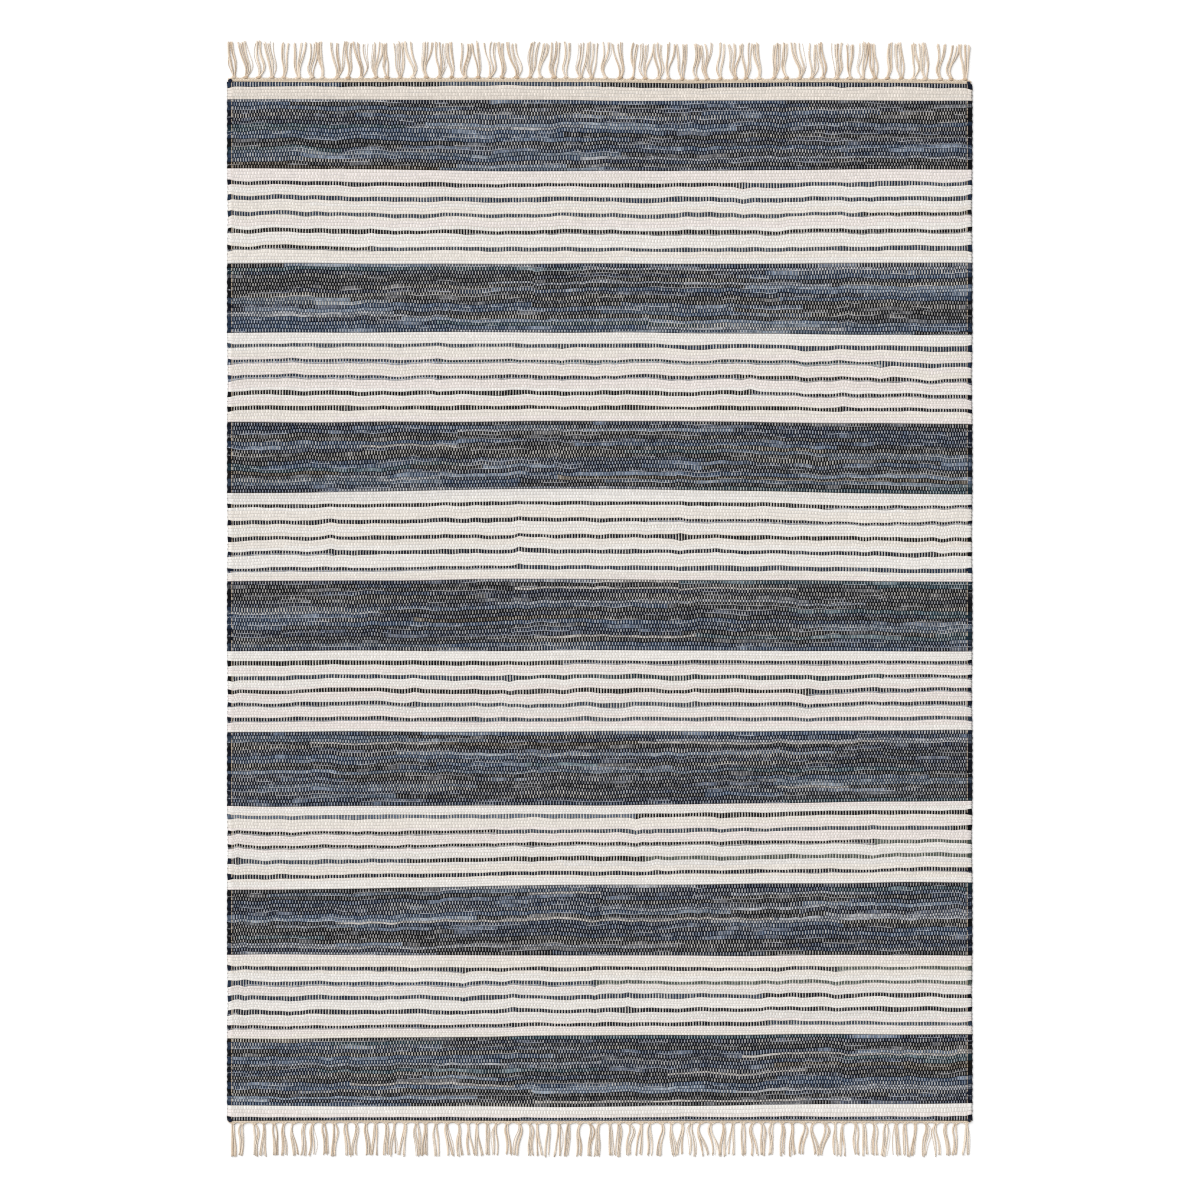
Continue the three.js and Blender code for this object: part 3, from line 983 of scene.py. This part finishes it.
# %% The weave material
GROOVE_EDGE = (0.30, 0.5)
GAP_EDGE, GAP_SHADE = (0.32, 0.5), 0.4
OVAL_STAYS_LIT = 0.3
DARK_RAG_GROOVE_SHADE = 0.44
FIBRE_LIGHT = 0.35
FLAT_FROM = 1.5
WEAVE_BUMP = (0.7, 0.0005)
WEAVE_SHEEN = (0.02, 0.6)


def weave_material(name, groove_shade):
    """Warp ovals over rag colours, with painted shade in the grooves. The last argument: how dark that
    painted shade is.
    """
    material, tree, u, v = new_cotton(name)
    spot = read_spot(tree, u, v)
    find_warp(spot)
    rag_fibre = noise_at(place_node(u * 0.8, v * 9.0), 1.0, 3.0)
    warp_fibre = noise_at(place_node(u * 7.0, v * 1.6), 1.0, 3.0)
    rag, warp = rag_colour(tree, spot), warp_colour(tree, spot, warp_fibre)
    cloth = blend_colours(tree, spot.warp_shows, rag, warp)

    # Painted shade: the grooves between picks and the gaps between humps are darkened in the colour itself.
    between_humps = soft_step(spot.from_end, *GAP_EDGE) * GAP_SHADE
    shade = soft_step(spot.from_pick, *GROOVE_EDGE).step("MAXIMUM", between_humps)
    shade = shade * (spot.warp_shows * -OVAL_STAYS_LIT + 1.0)
    light = shade * (spot.darkness * DARK_RAG_GROOVE_SHADE + groove_shade) * -1.0 + 1.0
    cloth = in_light(cloth, light * ((rag_fibre - 0.5) * FIBRE_LIGHT + 1.0))

    hump = 1.0 - spot.spread.step("MINIMUM", FLAT_FROM)
    bumpy = warp_fibre * 0.3 + (rag_fibre * 0.5 + hump)
    finish_cotton(tree, cloth, rag_fibre * 0.2 + 0.78, bumpy, WEAVE_BUMP, 0.1, WEAVE_SHEEN)
    return material


rag_weave = weave_material("rag_weave", 0.18)
print("the weave material has", len(rag_weave.node_tree.nodes), "nodes")

# %% [markdown]
# ## Weaving the field
# The cloth stretches from colour change to colour change. Where a rag turns over is drawn as one more
# set of soft waves, and only the tops of those waves count as turned. A second set widens the pale
# folded edge here and there, which draws the thin pale lines that wriggle through the bands. The last
# number says how bare the warp lies: a lone dark pick between white ones leaves it clean and cream,
# while in a band the dark picks crowd over it, rub off on it and shade it; that shade is painted into
# the warp's colour along with the rubbed-off rag.

# %% Weave all the stretches
TURN_FROM = 0.9
TURN_FULL = 2.0
FOLD_FROM = 0.9
FOLD_WAVE = 1.2
FOLD_WIDEST = 0.34
LONG_FOLDS_LESS = 0.4
BARE_OF = {"white": 0.2, "navy": 0.0, "stripe": 0.9, "far_stripe": 0.6, "near_stripe": 0.4}
BARE_SPREAD = 0.35
STRIPES_TURN = 0.4

turn_waves = 0.8 * soft_waves(PICKS, 14) + 0.6 * soft_waves(PICKS, 4)  # long waves and short ones
rag_turned = np.clip((turn_waves - TURN_FROM) / (TURN_FULL - TURN_FROM), 0, 1)
fold_waves = np.maximum(soft_waves(PICKS, 6), soft_waves(PICKS, 20) - LONG_FOLDS_LESS)
fold_waves = np.clip(FOLD_WAVE * (fold_waves - FOLD_FROM), 0, FOLD_WIDEST)
rag_fold = np.where(is_stripe, rag_fold, fold_waves)
rag_turned = np.where(is_stripe, STRIPES_TURN, 1) * rag_turned
warp_bare = np.array([BARE_OF[kind] for kind in pick_kinds])[:, None]
warp_bare = np.clip(warp_bare + BARE_SPREAD * (is_stripe < 1) * soft_waves(PICKS, 30), 0, 1)
cloth = {"rag": rag_laid + 0.5, "turned": rag_turned, "fold": rag_fold, "bare": warp_bare}
stretches = [("band_1", 0, 2)]
stretches += [(NOTE[number][0], number, number + 1) for number in range(2, len(NOTE) - 2)]
stretches += [("band_7", len(NOTE) - 2, len(NOTE))]
field_pieces = []
for name, first_part, last_part in stretches:
    first, last = first_picks[first_part], first_picks[last_part]
    rows = slice(2 * first, 2 * last + 1)
    heights = side_z + np.zeros(2 * (last - first) + 1)
    sides = [(side_x[side][rows], height) for side, height in zip((-1, 1), heights)]
    its_cloth = {key: numbers[first:last] for key, numbers in cloth.items()}
    piece = woven_piece(
        name, face_x[rows], face_y[rows], face_z[rows], sides, int(first), its_cloth, rag_weave)
    field_pieces.append(piece)
    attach(piece, "root")
    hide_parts("woven_field")
field_triangles = sum(len(face.vertices) - 2 for piece in field_pieces for face in piece.data.polygons)
print(len(field_pieces), "stretches of cloth,", field_triangles, "triangles")

# %% [markdown]
# ## The ends
# When the cloth comes off the loom, its warp ends hang free at both ends, and the weaver first packs in
# a narrow heading of warp cotton, which keeps the rags in. Beyond it the ends are gathered into bundles.
# At the far end each bundle has a small knot, and at the near end it is only drawn together. A table
# holds what differs, in millimetres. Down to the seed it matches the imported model.

# %% What each end is like
FAR = {
    "name": "far", "side": 1, "node": "fringe_far", "heading": 6.2, "picks": 3, "bundles": 58,
    "three_every": 1.7, "length": 58.0, "lean": 0.42, "splay": 0.34, "root_out": 2.6,
    "root_spread": 2.6, "seed": 11, "curl": (1.5, 4.2), "bulge": 1.2, "edge_tall": 2.4, "drawn": 1.6,
    "neck": 2.0,
}
NEAR = {
    "name": "near", "side": -1, "node": "fringe_near", "heading": 4.4, "picks": 2, "bundles": 73,
    "three_every": math.inf, "length": 56.0, "lean": 0.34, "splay": 0.2, "root_out": -1.5,
    "root_spread": 2.7, "seed": 29, "curl": (0.5, 3.5), "bulge": 0.0, "edge_tall": 2.2, "drawn": 2.6,
    "neck": 1.6,
}
PIECE_GAP = 0.3
HEADING_ARCH = 1.2
CORNER_ARCHES = 2
ROOT_JITTER = 0.13


def plain_dice(seed):
    """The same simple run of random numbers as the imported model's bundles were laid out with."""
    state = seed
    while True:
        state = (state * 1664525 + 1013904223) % 4294967296
        yield state / 4294967296


for end in (FAR, NEAR):
    end["dice"] = plain_dice(end["seed"])
    end["pitch"] = RUG_WIDTH / end["bundles"]
    roots = []
    for bundle in range(end["bundles"]):
        inner = 0 < bundle < end["bundles"] - 1
        stray = (next(end["dice"]) - 0.5) * 2 * ROOT_JITTER * end["pitch"] if inner else 0.0
        roots.append((bundle + 0.5) * end["pitch"] - RUG_WIDTH / 2 + stray)
    end["roots"] = np.array(roots)
    end["middles"] = (end["roots"][:-1] + end["roots"][1:]) / 2
print("bundles are", [round(end["pitch"], 1) for end in (FAR, NEAR)], "mm apart at the far and near end")

# %% [markdown]
# ## Headings
# A heading is the same plain weave, but of the warp's own tan cotton, thin and beaten hard. Its outer
# edge is pulled out at each bundle and falls back between two, in small arches. It can be made with
# the helper that made the field: only the rows of points and the rag, now tan cotton, change. At the
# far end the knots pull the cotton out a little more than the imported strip, so that edge gets a bulge.

# %% Weave the headings
HEADING_HUMP = 3.6
HEADING_GROOVE = 2.9
HEADING_WAVER = 0.12
HEADING_TURNED = (0.4, 0.3)  # how much wrong side shows, and how much that varies
HEADING_BARE = 0.5
SIDE_IN, SIDE_TALL = 0.4, 1.6
TAN = RAG_NAMES.index("tan_warp")
tan_weave = weave_material("tan_heading", 0.25)


def heading_edge(end, x):
    """How deep the heading is at these places: full at each bundle, and less between and at corners."""
    places = np.concatenate([[-RUG_WIDTH / 2], end["roots"], end["middles"], [RUG_WIDTH / 2]])
    between = np.ones(len(end["middles"]))
    arches = np.concatenate([[CORNER_ARCHES], np.zeros(end["bundles"]), between, [CORNER_ARCHES]])
    order = np.argsort(places)
    arch = np.interp(x, places[order], arches[order])
    return PIECE_GAP + end["heading"] + end["bulge"] - HEADING_ARCH * arch


def weave_heading(end):
    """The narrow tan strip at one end, from the cloth's last line of points outwards."""
    side = end["side"]
    last_line = part_lines[0] if side > 0 else part_lines[-1]
    last_x = face_x[0] if side > 0 else face_x[-1]
    share = np.linspace(0, 1, 2 * end["picks"] + 1)[:, None]
    depth = heading_edge(end, warp_x)
    y = last_line + side * depth * share
    z = np.full(y.shape, HEADING_GROOVE)
    z[1::2] = HEADING_HUMP + HEADING_WAVER * soft_waves(end["picks"], 4)
    z[-1] = end["edge_tall"]
    x = np.repeat(last_x[None, :], len(share), axis=0)
    if side > 0:
        y, z = y[::-1], z[::-1]
    half = RUG_WIDTH / 2 - SIDE_IN
    sides = [(np.full(len(share), edge_x), np.full(len(share), SIDE_TALL)) for edge_x in (-half, half)]
    first_pick = -end["picks"] if side > 0 else PICKS
    turned = np.clip(HEADING_TURNED[0] + HEADING_TURNED[1] * soft_waves(end["picks"], 10), 0, 1)
    plain = np.zeros(turned.shape)
    tan_cloth = {"rag": plain + TAN + 0.5, "turned": turned, "fold": plain, "bare": plain + HEADING_BARE}
    piece = woven_piece("heading_" + end["name"], x, y, z, sides, first_pick, tan_cloth, tan_weave)
    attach(piece, "root")
    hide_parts(end["node"])
    return piece


headings = {end["name"]: weave_heading(end) for end in (FAR, NEAR)}
print("headings:", [len(piece.data.polygons) for piece in headings.values()], "faces")

# %% [markdown]
# ## Where the fringe lies
# Each bundle lies on the floor in two or three locks. They lean a little, spread towards the tips and
# are pushed apart so that none lies on its neighbour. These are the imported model's own sums, so the
# fringe that shows and the fringe that collides keep to the same places.

# %% Lay out the locks
LOCK_STATIONS = np.array([  # along, width
    (0.0, 2.4), (0.17, 2.8), (0.42, 3.2), (0.71, 3.5), (1.0, 3.6),
])
LOCK_GAP = 0.5
LOCK_WAVE = 2.2
TIP_UNEVENNESS = 3.5
SPACING_PASSES = 40


def keep_apart(centres, width):
    """Pushes neighbours apart, a little at a time, until a clear gap stands between all of them."""
    reach = (RUG_WIDTH - width) / 2
    for _ in range(SPACING_PASSES):
        centres[0] = max(centres[0], -reach)
        centres[-1] = min(centres[-1], reach)
        for i in range(1, len(centres)):
            missing = width + LOCK_GAP - (centres[i] - centres[i - 1])
            if missing > 0:
                centres[i - 1] -= missing / 2
                centres[i] += missing / 2
    return centres


def lay_locks(end):
    """Every lock of one end: its bundle, its length, and its place across the rug at each station."""
    locks = []
    for bundle, root in enumerate(end["roots"]):
        extras = [math.floor(b / end["three_every"]) for b in (bundle, bundle + 1)]
        count = 3 if extras[1] > extras[0] else 2
        lean = (next(end["dice"]) - 0.5) * 2 * end["lean"] * end["pitch"]
        for i in range(count):
            splay = next(end["dice"]) * end["splay"] * end["pitch"]
            wave = (next(end["dice"]) - 0.5) * 2 * LOCK_WAVE
            length = end["length"] - next(end["dice"]) * TIP_UNEVENNESS
            locks.append({
                "bundle": bundle, "root": root, "spread": i - (count - 1) / 2,
                "lean": lean, "splay": splay, "wave": wave, "length": length,
            })
    stations = []
    for along, width in LOCK_STATIONS:
        if along == 0:
            stations.append([lock["root"] + lock["spread"] * end["root_spread"] for lock in locks])
            continue
        stations.append(keep_apart([
            lock["root"] + lock["spread"] * (width + LOCK_GAP + lock["splay"] * along)
            + lock["lean"] * along ** 1.5 + lock["wave"] * math.sin(along * math.pi * 1.5)
            for lock in locks
        ], width))
    for lock, places in zip(locks, np.array(stations).T):
        lock["places"] = places
    return locks


for end in (FAR, NEAR):
    end["locks"] = lay_locks(end)
print("locks:", len(FAR["locks"]), "at the far end and", len(NEAR["locks"]), "at the near end")

# %% [markdown]
# ## Yarns
# A lock is a handful of warp ends. Every one of the rug's warp ends leaves the heading at its own
# place, is drawn in to its bundle's root, and then runs down its lock to a cut tip. A few leave the
# lock and lie alone. A yarn could be a curve with a round profile, but a thousand of them are lighter as
# one mesh of four-sided tubes, whose shading is smoothed to look round.

# %% A helper that turns paths into strands
MAP_PAD = 0.06
CELLS_WIDE = 1.6
WALLS_SHARE = 0.86
CAP_X, CAP_STEP, CAP_Y = 0.3, 0.4, 0.94
CAP_WIDE, CAP_TALL = 0.1, 0.03


def strands(paths, radii, sides):
    """Tubes along paths. Returns points, walls, end caps, and how far along each station is."""
    count, stations = radii.shape
    way = np.gradient(paths, axis=1)
    way /= np.linalg.norm(way, axis=2, keepdims=True)
    sideways = np.cross(way, (0.0, 0.0, 1.0))
    sideways /= np.linalg.norm(sideways, axis=2, keepdims=True)
    upwards = np.cross(sideways, way)
    turns = (np.arange(sides) + 0.5) / sides * 2 * np.pi
    ring = (
        sideways[:, :, None, :] * np.cos(turns)[None, None, :, None]
        + upwards[:, :, None, :] * np.sin(turns)[None, None, :, None]
    )
    points = paths[:, :, None, :] + ring * radii[:, :, None, None]
    numbers = np.arange(count * stations * sides).reshape(count, stations, sides)
    closed = np.concatenate([numbers, numbers[:, :, :1]], axis=2)
    walls = np.concatenate([quads(grid) for grid in closed])
    caps = np.concatenate([numbers[:, 0, :], numbers[:, -1, ::-1]])
    steps = np.linalg.norm(np.diff(paths, axis=1), axis=2)
    run = np.concatenate([np.zeros((count, 1)), np.cumsum(steps, axis=1)], axis=1)
    return points.reshape(-1, 3), walls, caps, run


def strand_maps(count, stations, sides, run):
    """The two maps: threads as turns round and millimetres along, and a small oblong for each strand."""
    round_grid, along_grid = np.meshgrid(np.arange(sides + 1) / sides, np.arange(stations))
    turn, station = (np.tile(quads(grid), (count, 1)) for grid in (round_grid, along_grid))
    strand = np.arange(count).repeat((stations - 1) * sides)[:, None] + np.zeros(4, int)
    threads = abreast(turn + strand * 2, run[strand, station]).reshape(-1, 2)
    columns = math.ceil(math.sqrt(count * CELLS_WIDE))
    rows = math.ceil(count / columns)
    cell_x, cell_y = strand % columns, strand // columns
    bake_x = (cell_x + MAP_PAD + turn * (1 - 2 * MAP_PAD)) / columns
    bake_y = (cell_y + MAP_PAD + station / (stations - 1) * (WALLS_SHARE - MAP_PAD)) / rows
    bake = abreast(bake_x, bake_y).reshape(-1, 2)
    turns = (np.arange(sides) + 0.5) / sides * 2 * np.pi
    cap_strand = np.repeat(np.arange(count)[:, None], sides, axis=1)
    cap_maps, cap_threads = [], []
    for end_number in (0, 1):
        cap_x = (cap_strand % columns + CAP_X + CAP_STEP * end_number + CAP_WIDE * np.cos(turns)) / columns
        cap_y = (cap_strand // columns + CAP_Y + CAP_TALL * np.sin(turns)) / rows
        cap_maps.append(abreast(cap_x, cap_y).reshape(-1, 2))
        cap_threads.append(abreast(cap_strand * 2.0 + 0.5, run[cap_strand, -end_number]).reshape(-1, 2))
    return np.concatenate([threads, *cap_threads]), np.concatenate([bake, *cap_maps])


def strand_piece(name, paths, radii, sides, tones, material):
    """One mesh of many strands, with a tone for each."""
    count, stations = radii.shape
    points, walls, caps, run = strands(paths, radii, sides)
    threads, bake = strand_maps(count, stations, sides, run)
    numbers = np.arange(count)
    face_strand = np.concatenate([np.repeat(numbers, (stations - 1) * sides), np.tile(numbers, 2)])
    maps = {"Threads": threads, "OFBake": bake}
    return mesh_piece(name, points, [walls, caps], maps, {"tone": tones[face_strand]}, material)


print("paths can become strands now")

# %% [markdown]
# The warp cotton is two plies twisted together, pale tan and matt. Around the yarn and along it, a
# slanting wave paints shade into the line between the plies, and each yarn has its own tone, because
# cotton is never quite one colour.

# %% The warp cotton
COTTON_PALE = (244, 230, 212)
COTTON_DEEP = (206, 181, 153)
PLY_TURN = 3.2
FIBRE_TONE, PATCH_TONE = 0.3, 0.5
PLY_SHADE = 0.14
TWIST_BUMP = (0.6, 0.0003)
TWIST_SHEEN = (0.1, 0.5)


def twisted_material(name, pale, deep):
    """Twisted cotton between two colours."""
    material, tree, turn, run = new_cotton(name)
    twist = turn + run / PLY_TURN
    ply = abs((twist * (2 * math.pi)).step("SINE"))
    fibre = noise_at(place_node(turn * 6.0, run), 1.4, 4.0)
    patch = noise_at(place_node(turn, run * 0.12, 2.0), 1.0)
    depth = (fibre - 0.5) * FIBRE_TONE + face_number(tree, "tone")
    depth = (patch - 0.5) * PATCH_TONE + depth
    colour = blend_colours(tree, depth, daylight(pale), daylight(deep))
    # Painted shade in the line between the two plies.
    colour = in_light(colour, soft_step(ply, 0.0, 0.5) * PLY_SHADE + (1 - PLY_SHADE))
    finish_cotton(tree, colour, fibre * 0.15 + 0.8, fibre * 0.4 + ply, TWIST_BUMP, 0.15, TWIST_SHEEN)
    return material


warp_cotton = twisted_material("warp_cotton", COTTON_PALE, COTTON_DEEP)
print("warp cotton has", len(warp_cotton.node_tree.nodes), "nodes")

# %% [markdown]
# Now the paths. Every yarn has thirteen stations: two at the heading, one in the root, and ten down
# the lock. Inside the lock the yarns wind loosely round each other and open out towards the tip. Each
# bundle curls a little to one side, and a few thin yarns stray from their lock.

# %% Wind one yarn down its lock
LOCK_RUN = np.array([0.03, 0.1, 0.2, 0.31, 0.43, 0.55, 0.68, 0.8, 0.91, 1.0])
CURL_SIDE = np.array([0.21, 0.7, 1.0, 0.85, 0.4, -0.1, -0.45, -0.6, -0.6, -0.5])
YARN_RADIUS, YARN_SIZES = 0.85, (0.82, 1.12)
LOCK_ROUND, LOCK_OPENING = 0.64, 0.5
LOCK_FLAT, LOCK_TALL = 1.35, 0.55
LOCK_SINKS = np.interp(LOCK_RUN, (0.0, 1.0), (1.3, 0.8))
WINDING_STRAY, WINDING_MORE = (-0.6, 0.6), (1.0, 3.0)
LITTLE_STRAY, LARGE_STRAY, STRAY_BENDS = 0.5, (2.0, 6.0), (1.5, 3.0)
STRAY_SHARE, STRAY_THIN = 0.14, 0.5
CUT_UNEVEN = (-2.5, 1.2)


def wind_yarn(lock, rank, bend, thick):
    """One yarn: across and up at each station of its lock, its radius and its length."""
    winding = rank * 2 * math.pi + dice.uniform(*WINDING_STRAY)
    winding = winding + dice.uniform(*WINDING_MORE) * LOCK_RUN
    stray = dice.normal() * LITTLE_STRAY
    radius = YARN_RADIUS * dice.uniform(*YARN_SIZES) * thick
    if dice.random() < STRAY_SHARE:
        stray = dice.choice([-1, 1]) * dice.uniform(*LARGE_STRAY)
        radius = radius * STRAY_THIN
    length = lock["length"] + dice.uniform(*CUT_UNEVEN)
    spread = LOCK_ROUND * (1 + LOCK_OPENING * LOCK_RUN)
    x = np.interp(LOCK_RUN, LOCK_STATIONS[:, 0], lock["places"]) + bend * CURL_SIDE
    x = x + LOCK_FLAT * spread * np.cos(winding) + stray * np.sin(LOCK_RUN * dice.uniform(*STRAY_BENDS))
    z = radius + spread * LOCK_TALL * (1 + np.sin(winding)) * LOCK_SINKS
    return x, z, radius, length


print("a yarn is", 2 * YARN_RADIUS, "mm thick, and a stray one", 2 * YARN_RADIUS * STRAY_THIN)

# %% Lead every warp end down its lock
LOCK_CURL = 0.8
CORNER_THICK, CORNER_ENDS = 0.4, 8
NECK = np.interp(LOCK_RUN, (0.0, 0.12, 0.3), (0.6, 0.85, 1.0))
YARNS_SET_IN, YARNS_REACH_IN = 1.6, 1.0
PULL_HALF_WAY, PULL_AT_ROOT = 0.62, 0.3
HEAD_STATIONS = ((-1.4, 2.0), (0.15, 2.1))  # past the heading's edge, and how high
ROOT_TALL = 2.2
LEAST_GAP, LEAST_STEP = 0.4, 1.2
CUT_FLARE = 1.15
TONE_MIDDLE, TONE_VARIES = 0.34, 0.26


def lead_yarns(end):
    """Paths, radii and tones for all the warp ends at one end of the rug."""
    side = end["side"]
    places = warp_x * (RUG_WIDTH / 2 - YARNS_SET_IN) / (RUG_WIDTH / 2)
    bundle_of = np.searchsorted(end["middles"], places)
    edge = end_line(side, places) + side * heading_edge(end, places)
    thick = 1 + CORNER_THICK * np.exp(-from_edge / CORNER_ENDS)
    paths = np.zeros((ENDS, 3 + len(LOCK_RUN), 3))
    radii = np.empty(paths.shape[:2])
    for bundle, root in enumerate(end["roots"]):
        yarns = np.flatnonzero(bundle_of == bundle)
        locks = [lock for lock in end["locks"] if lock["bundle"] == bundle]
        mates = max(1, len(yarns) / len(locks))
        root_y = end_line(side, root) + side * (PIECE_GAP + end["heading"] + end["root_out"])
        inner = 0 < bundle < end["bundles"] - 1
        curl = dice.choice([-1, 1]) * dice.uniform(*end["curl"]) * inner
        for rank, yarn in enumerate(yarns):
            lock = locks[rank * len(locks) // len(yarns)]
            bend = curl + LOCK_CURL * lock["wave"] * (1 if lock["spread"] > 0 else -1) * inner
            x, z, radius, length = wind_yarn(lock, rank / mates, bend, thick[yarn])
            x = root + (x - root) * NECK
            pull = places[yarn] - root
            drawn = np.clip(pull * PULL_AT_ROOT, -end["drawn"], end["drawn"])
            across = (places[yarn], root + pull * PULL_HALF_WAY)
            head = [(at, edge[yarn] + side * out, tall) for at, (out, tall) in zip(across, HEAD_STATIONS)]
            head += [(root + drawn, edge[yarn] + side * end["neck"], ROOT_TALL)]
            least = side * head[2][1] + LEAST_GAP + LEAST_STEP * np.arange(len(LOCK_RUN))
            y = side * np.maximum(side * root_y + LOCK_RUN * length, least)
            paths[yarn] = np.vstack([head, abreast(x, y, z)])
            radii[yarn] = radius
            radii[yarn, -1] = radius * CUT_FLARE
    reach = RUG_WIDTH / 2 - YARNS_REACH_IN
    paths[:, :, 0] = np.clip(paths[:, :, 0], -reach, reach)
    tones = np.clip(TONE_MIDDLE + TONE_VARIES * dice.normal(size=ENDS), -0.2, 1)
    return paths, radii, tones


for end in (FAR, NEAR):
    paths, radii, tones = lead_yarns(end)
    piece = strand_piece("fringe_yarns_" + end["name"], paths, radii, 4, tones, warp_cotton)
    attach(piece, "root")
    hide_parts(end["node"])

# %% [markdown]
# ## Root knots
# At the far end each bundle is tied once round itself, close to the heading. What shows is a small fat
# bead of two turns, a little askew. A coil of thick yarn around the bundle's root gives just that.

# %% Tie the knots
KNOT_TURNS = 2.2
KNOT_STATIONS = 17
KNOT_WIDE, KNOT_TALL = 3.1, 1.4
KNOT_YARN = 1.1
KNOT_MIDDLE = 2.75
KNOT_ALONG = 3.4
KNOT_OUT = 1.2
KNOT_SIZES, KNOT_ASKEW = (0.85, 1.15), (-0.35, 0.35)
# The knots' tan is deeper than the yarns': it paints the shade round each knot's root.
KNOT_SHADED_TONE, KNOT_TONE_VARIES = 0.75, 0.25

knot_angles = np.linspace(0, KNOT_TURNS * 2 * np.pi, KNOT_STATIONS)
knot_count = FAR["bundles"]
start_angles = dice.uniform(0, 2 * np.pi, knot_count)[:, None]
knot_sizes = dice.uniform(*KNOT_SIZES, knot_count)[:, None]
askew = dice.uniform(*KNOT_ASKEW, knot_count)[:, None]
angles = start_angles + knot_angles
knot_x = FAR["roots"][:, None] + KNOT_WIDE * knot_sizes * np.cos(angles)
knot_line = end_line(1, FAR["roots"]) + PIECE_GAP + FAR["heading"] + KNOT_OUT
knot_y = knot_line[:, None] + KNOT_ALONG * (knot_angles / knot_angles[-1] - 0.5)
knot_y = knot_y + askew * (knot_x - FAR["roots"][:, None])
knot_z = KNOT_MIDDLE + KNOT_TALL * np.sin(angles)
knot_paths = abreast(knot_x, knot_y, knot_z)
knot_radii = np.full((knot_count, KNOT_STATIONS), KNOT_YARN) * knot_sizes
knot_tones = np.clip(KNOT_SHADED_TONE + KNOT_TONE_VARIES * dice.normal(size=knot_count), 0, 1.3)
knots = strand_piece("root_knots_far", knot_paths, knot_radii, 5, knot_tones, warp_cotton)
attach(knots, "root")
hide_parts("fringe_far")
print(knot_count, "knots tied")

# %% [markdown]
# ## Tucked ends
# The navy rag of the first and the last pick has to end somewhere. The weaver winds its tail once round
# the outermost warp ends at the corner and tucks it in, which leaves a dark lump beside the heading.
# A short, fat, winding strand makes each of the four lumps, all shifted a little to the far end.

# %% Tuck in the rag's ends
LUMP_TURNS = 1.3
LUMP_STATIONS = 12
LUMP_WIDE, LUMP_ALONG, LUMP_TALL = 1.5, 1.5, 1.1
LUMP_RAG = 2.3
LUMP_FROM_EDGE = 4.4
LUMP_SHIFT = 1.0
LUMP_SKEW = 0.8
LUMP_TAPER = 0.8
LUMP_MIDDLE = 3.8
LUMP_PALE = (30, 40, 66)
LUMP_DEEP = (8, 11, 24)

corners = [(side, across) for side in (1, -1) for across in (-1, 1)]
lump_angles = np.linspace(0, LUMP_TURNS * 2 * np.pi, LUMP_STATIONS)
lump_paths = np.array([
    abreast(
        across * (RUG_WIDTH / 2 - LUMP_FROM_EDGE) + LUMP_WIDE * np.cos(lump_angles + across),
        end_line(side, across * RUG_WIDTH / 2) + LUMP_SHIFT + LUMP_ALONG * np.sin(lump_angles * LUMP_SKEW),
        LUMP_MIDDLE + LUMP_TALL * np.sin(lump_angles),
    )
    for side, across in corners
])
lump_radii = LUMP_RAG * np.linspace(1.0, LUMP_TAPER, LUMP_STATIONS) * np.ones((len(corners), 1))
rag_cotton = twisted_material("rag_cotton", LUMP_PALE, LUMP_DEEP)
lumps = strand_piece("tucked_ends", lump_paths, lump_radii, 8, np.full(len(corners), 0.5), rag_cotton)
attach(lumps, "root")
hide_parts("woven_field")
print(len(corners), "rag ends tucked in")

# %% [markdown]
# ## The stretches of cloth
# Each stretch of the field is a sheet of cloth that lies on the floor.

print("declared", len(field_pieces), "stretches as cloth")

# %% [markdown]
# The dressed rug is meant to stay as large as the imported model. Both boxes are gathered here, and the
# dressed rug's size is printed.

# %% Gather both boxes and finish
size = {"cad": [list(corner) for corner in cad_box], "visual": [list(corner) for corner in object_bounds()]}
print("the dressed rug measures", [round(b - a, 4) for a, b in zip(*size["visual"])], "m")
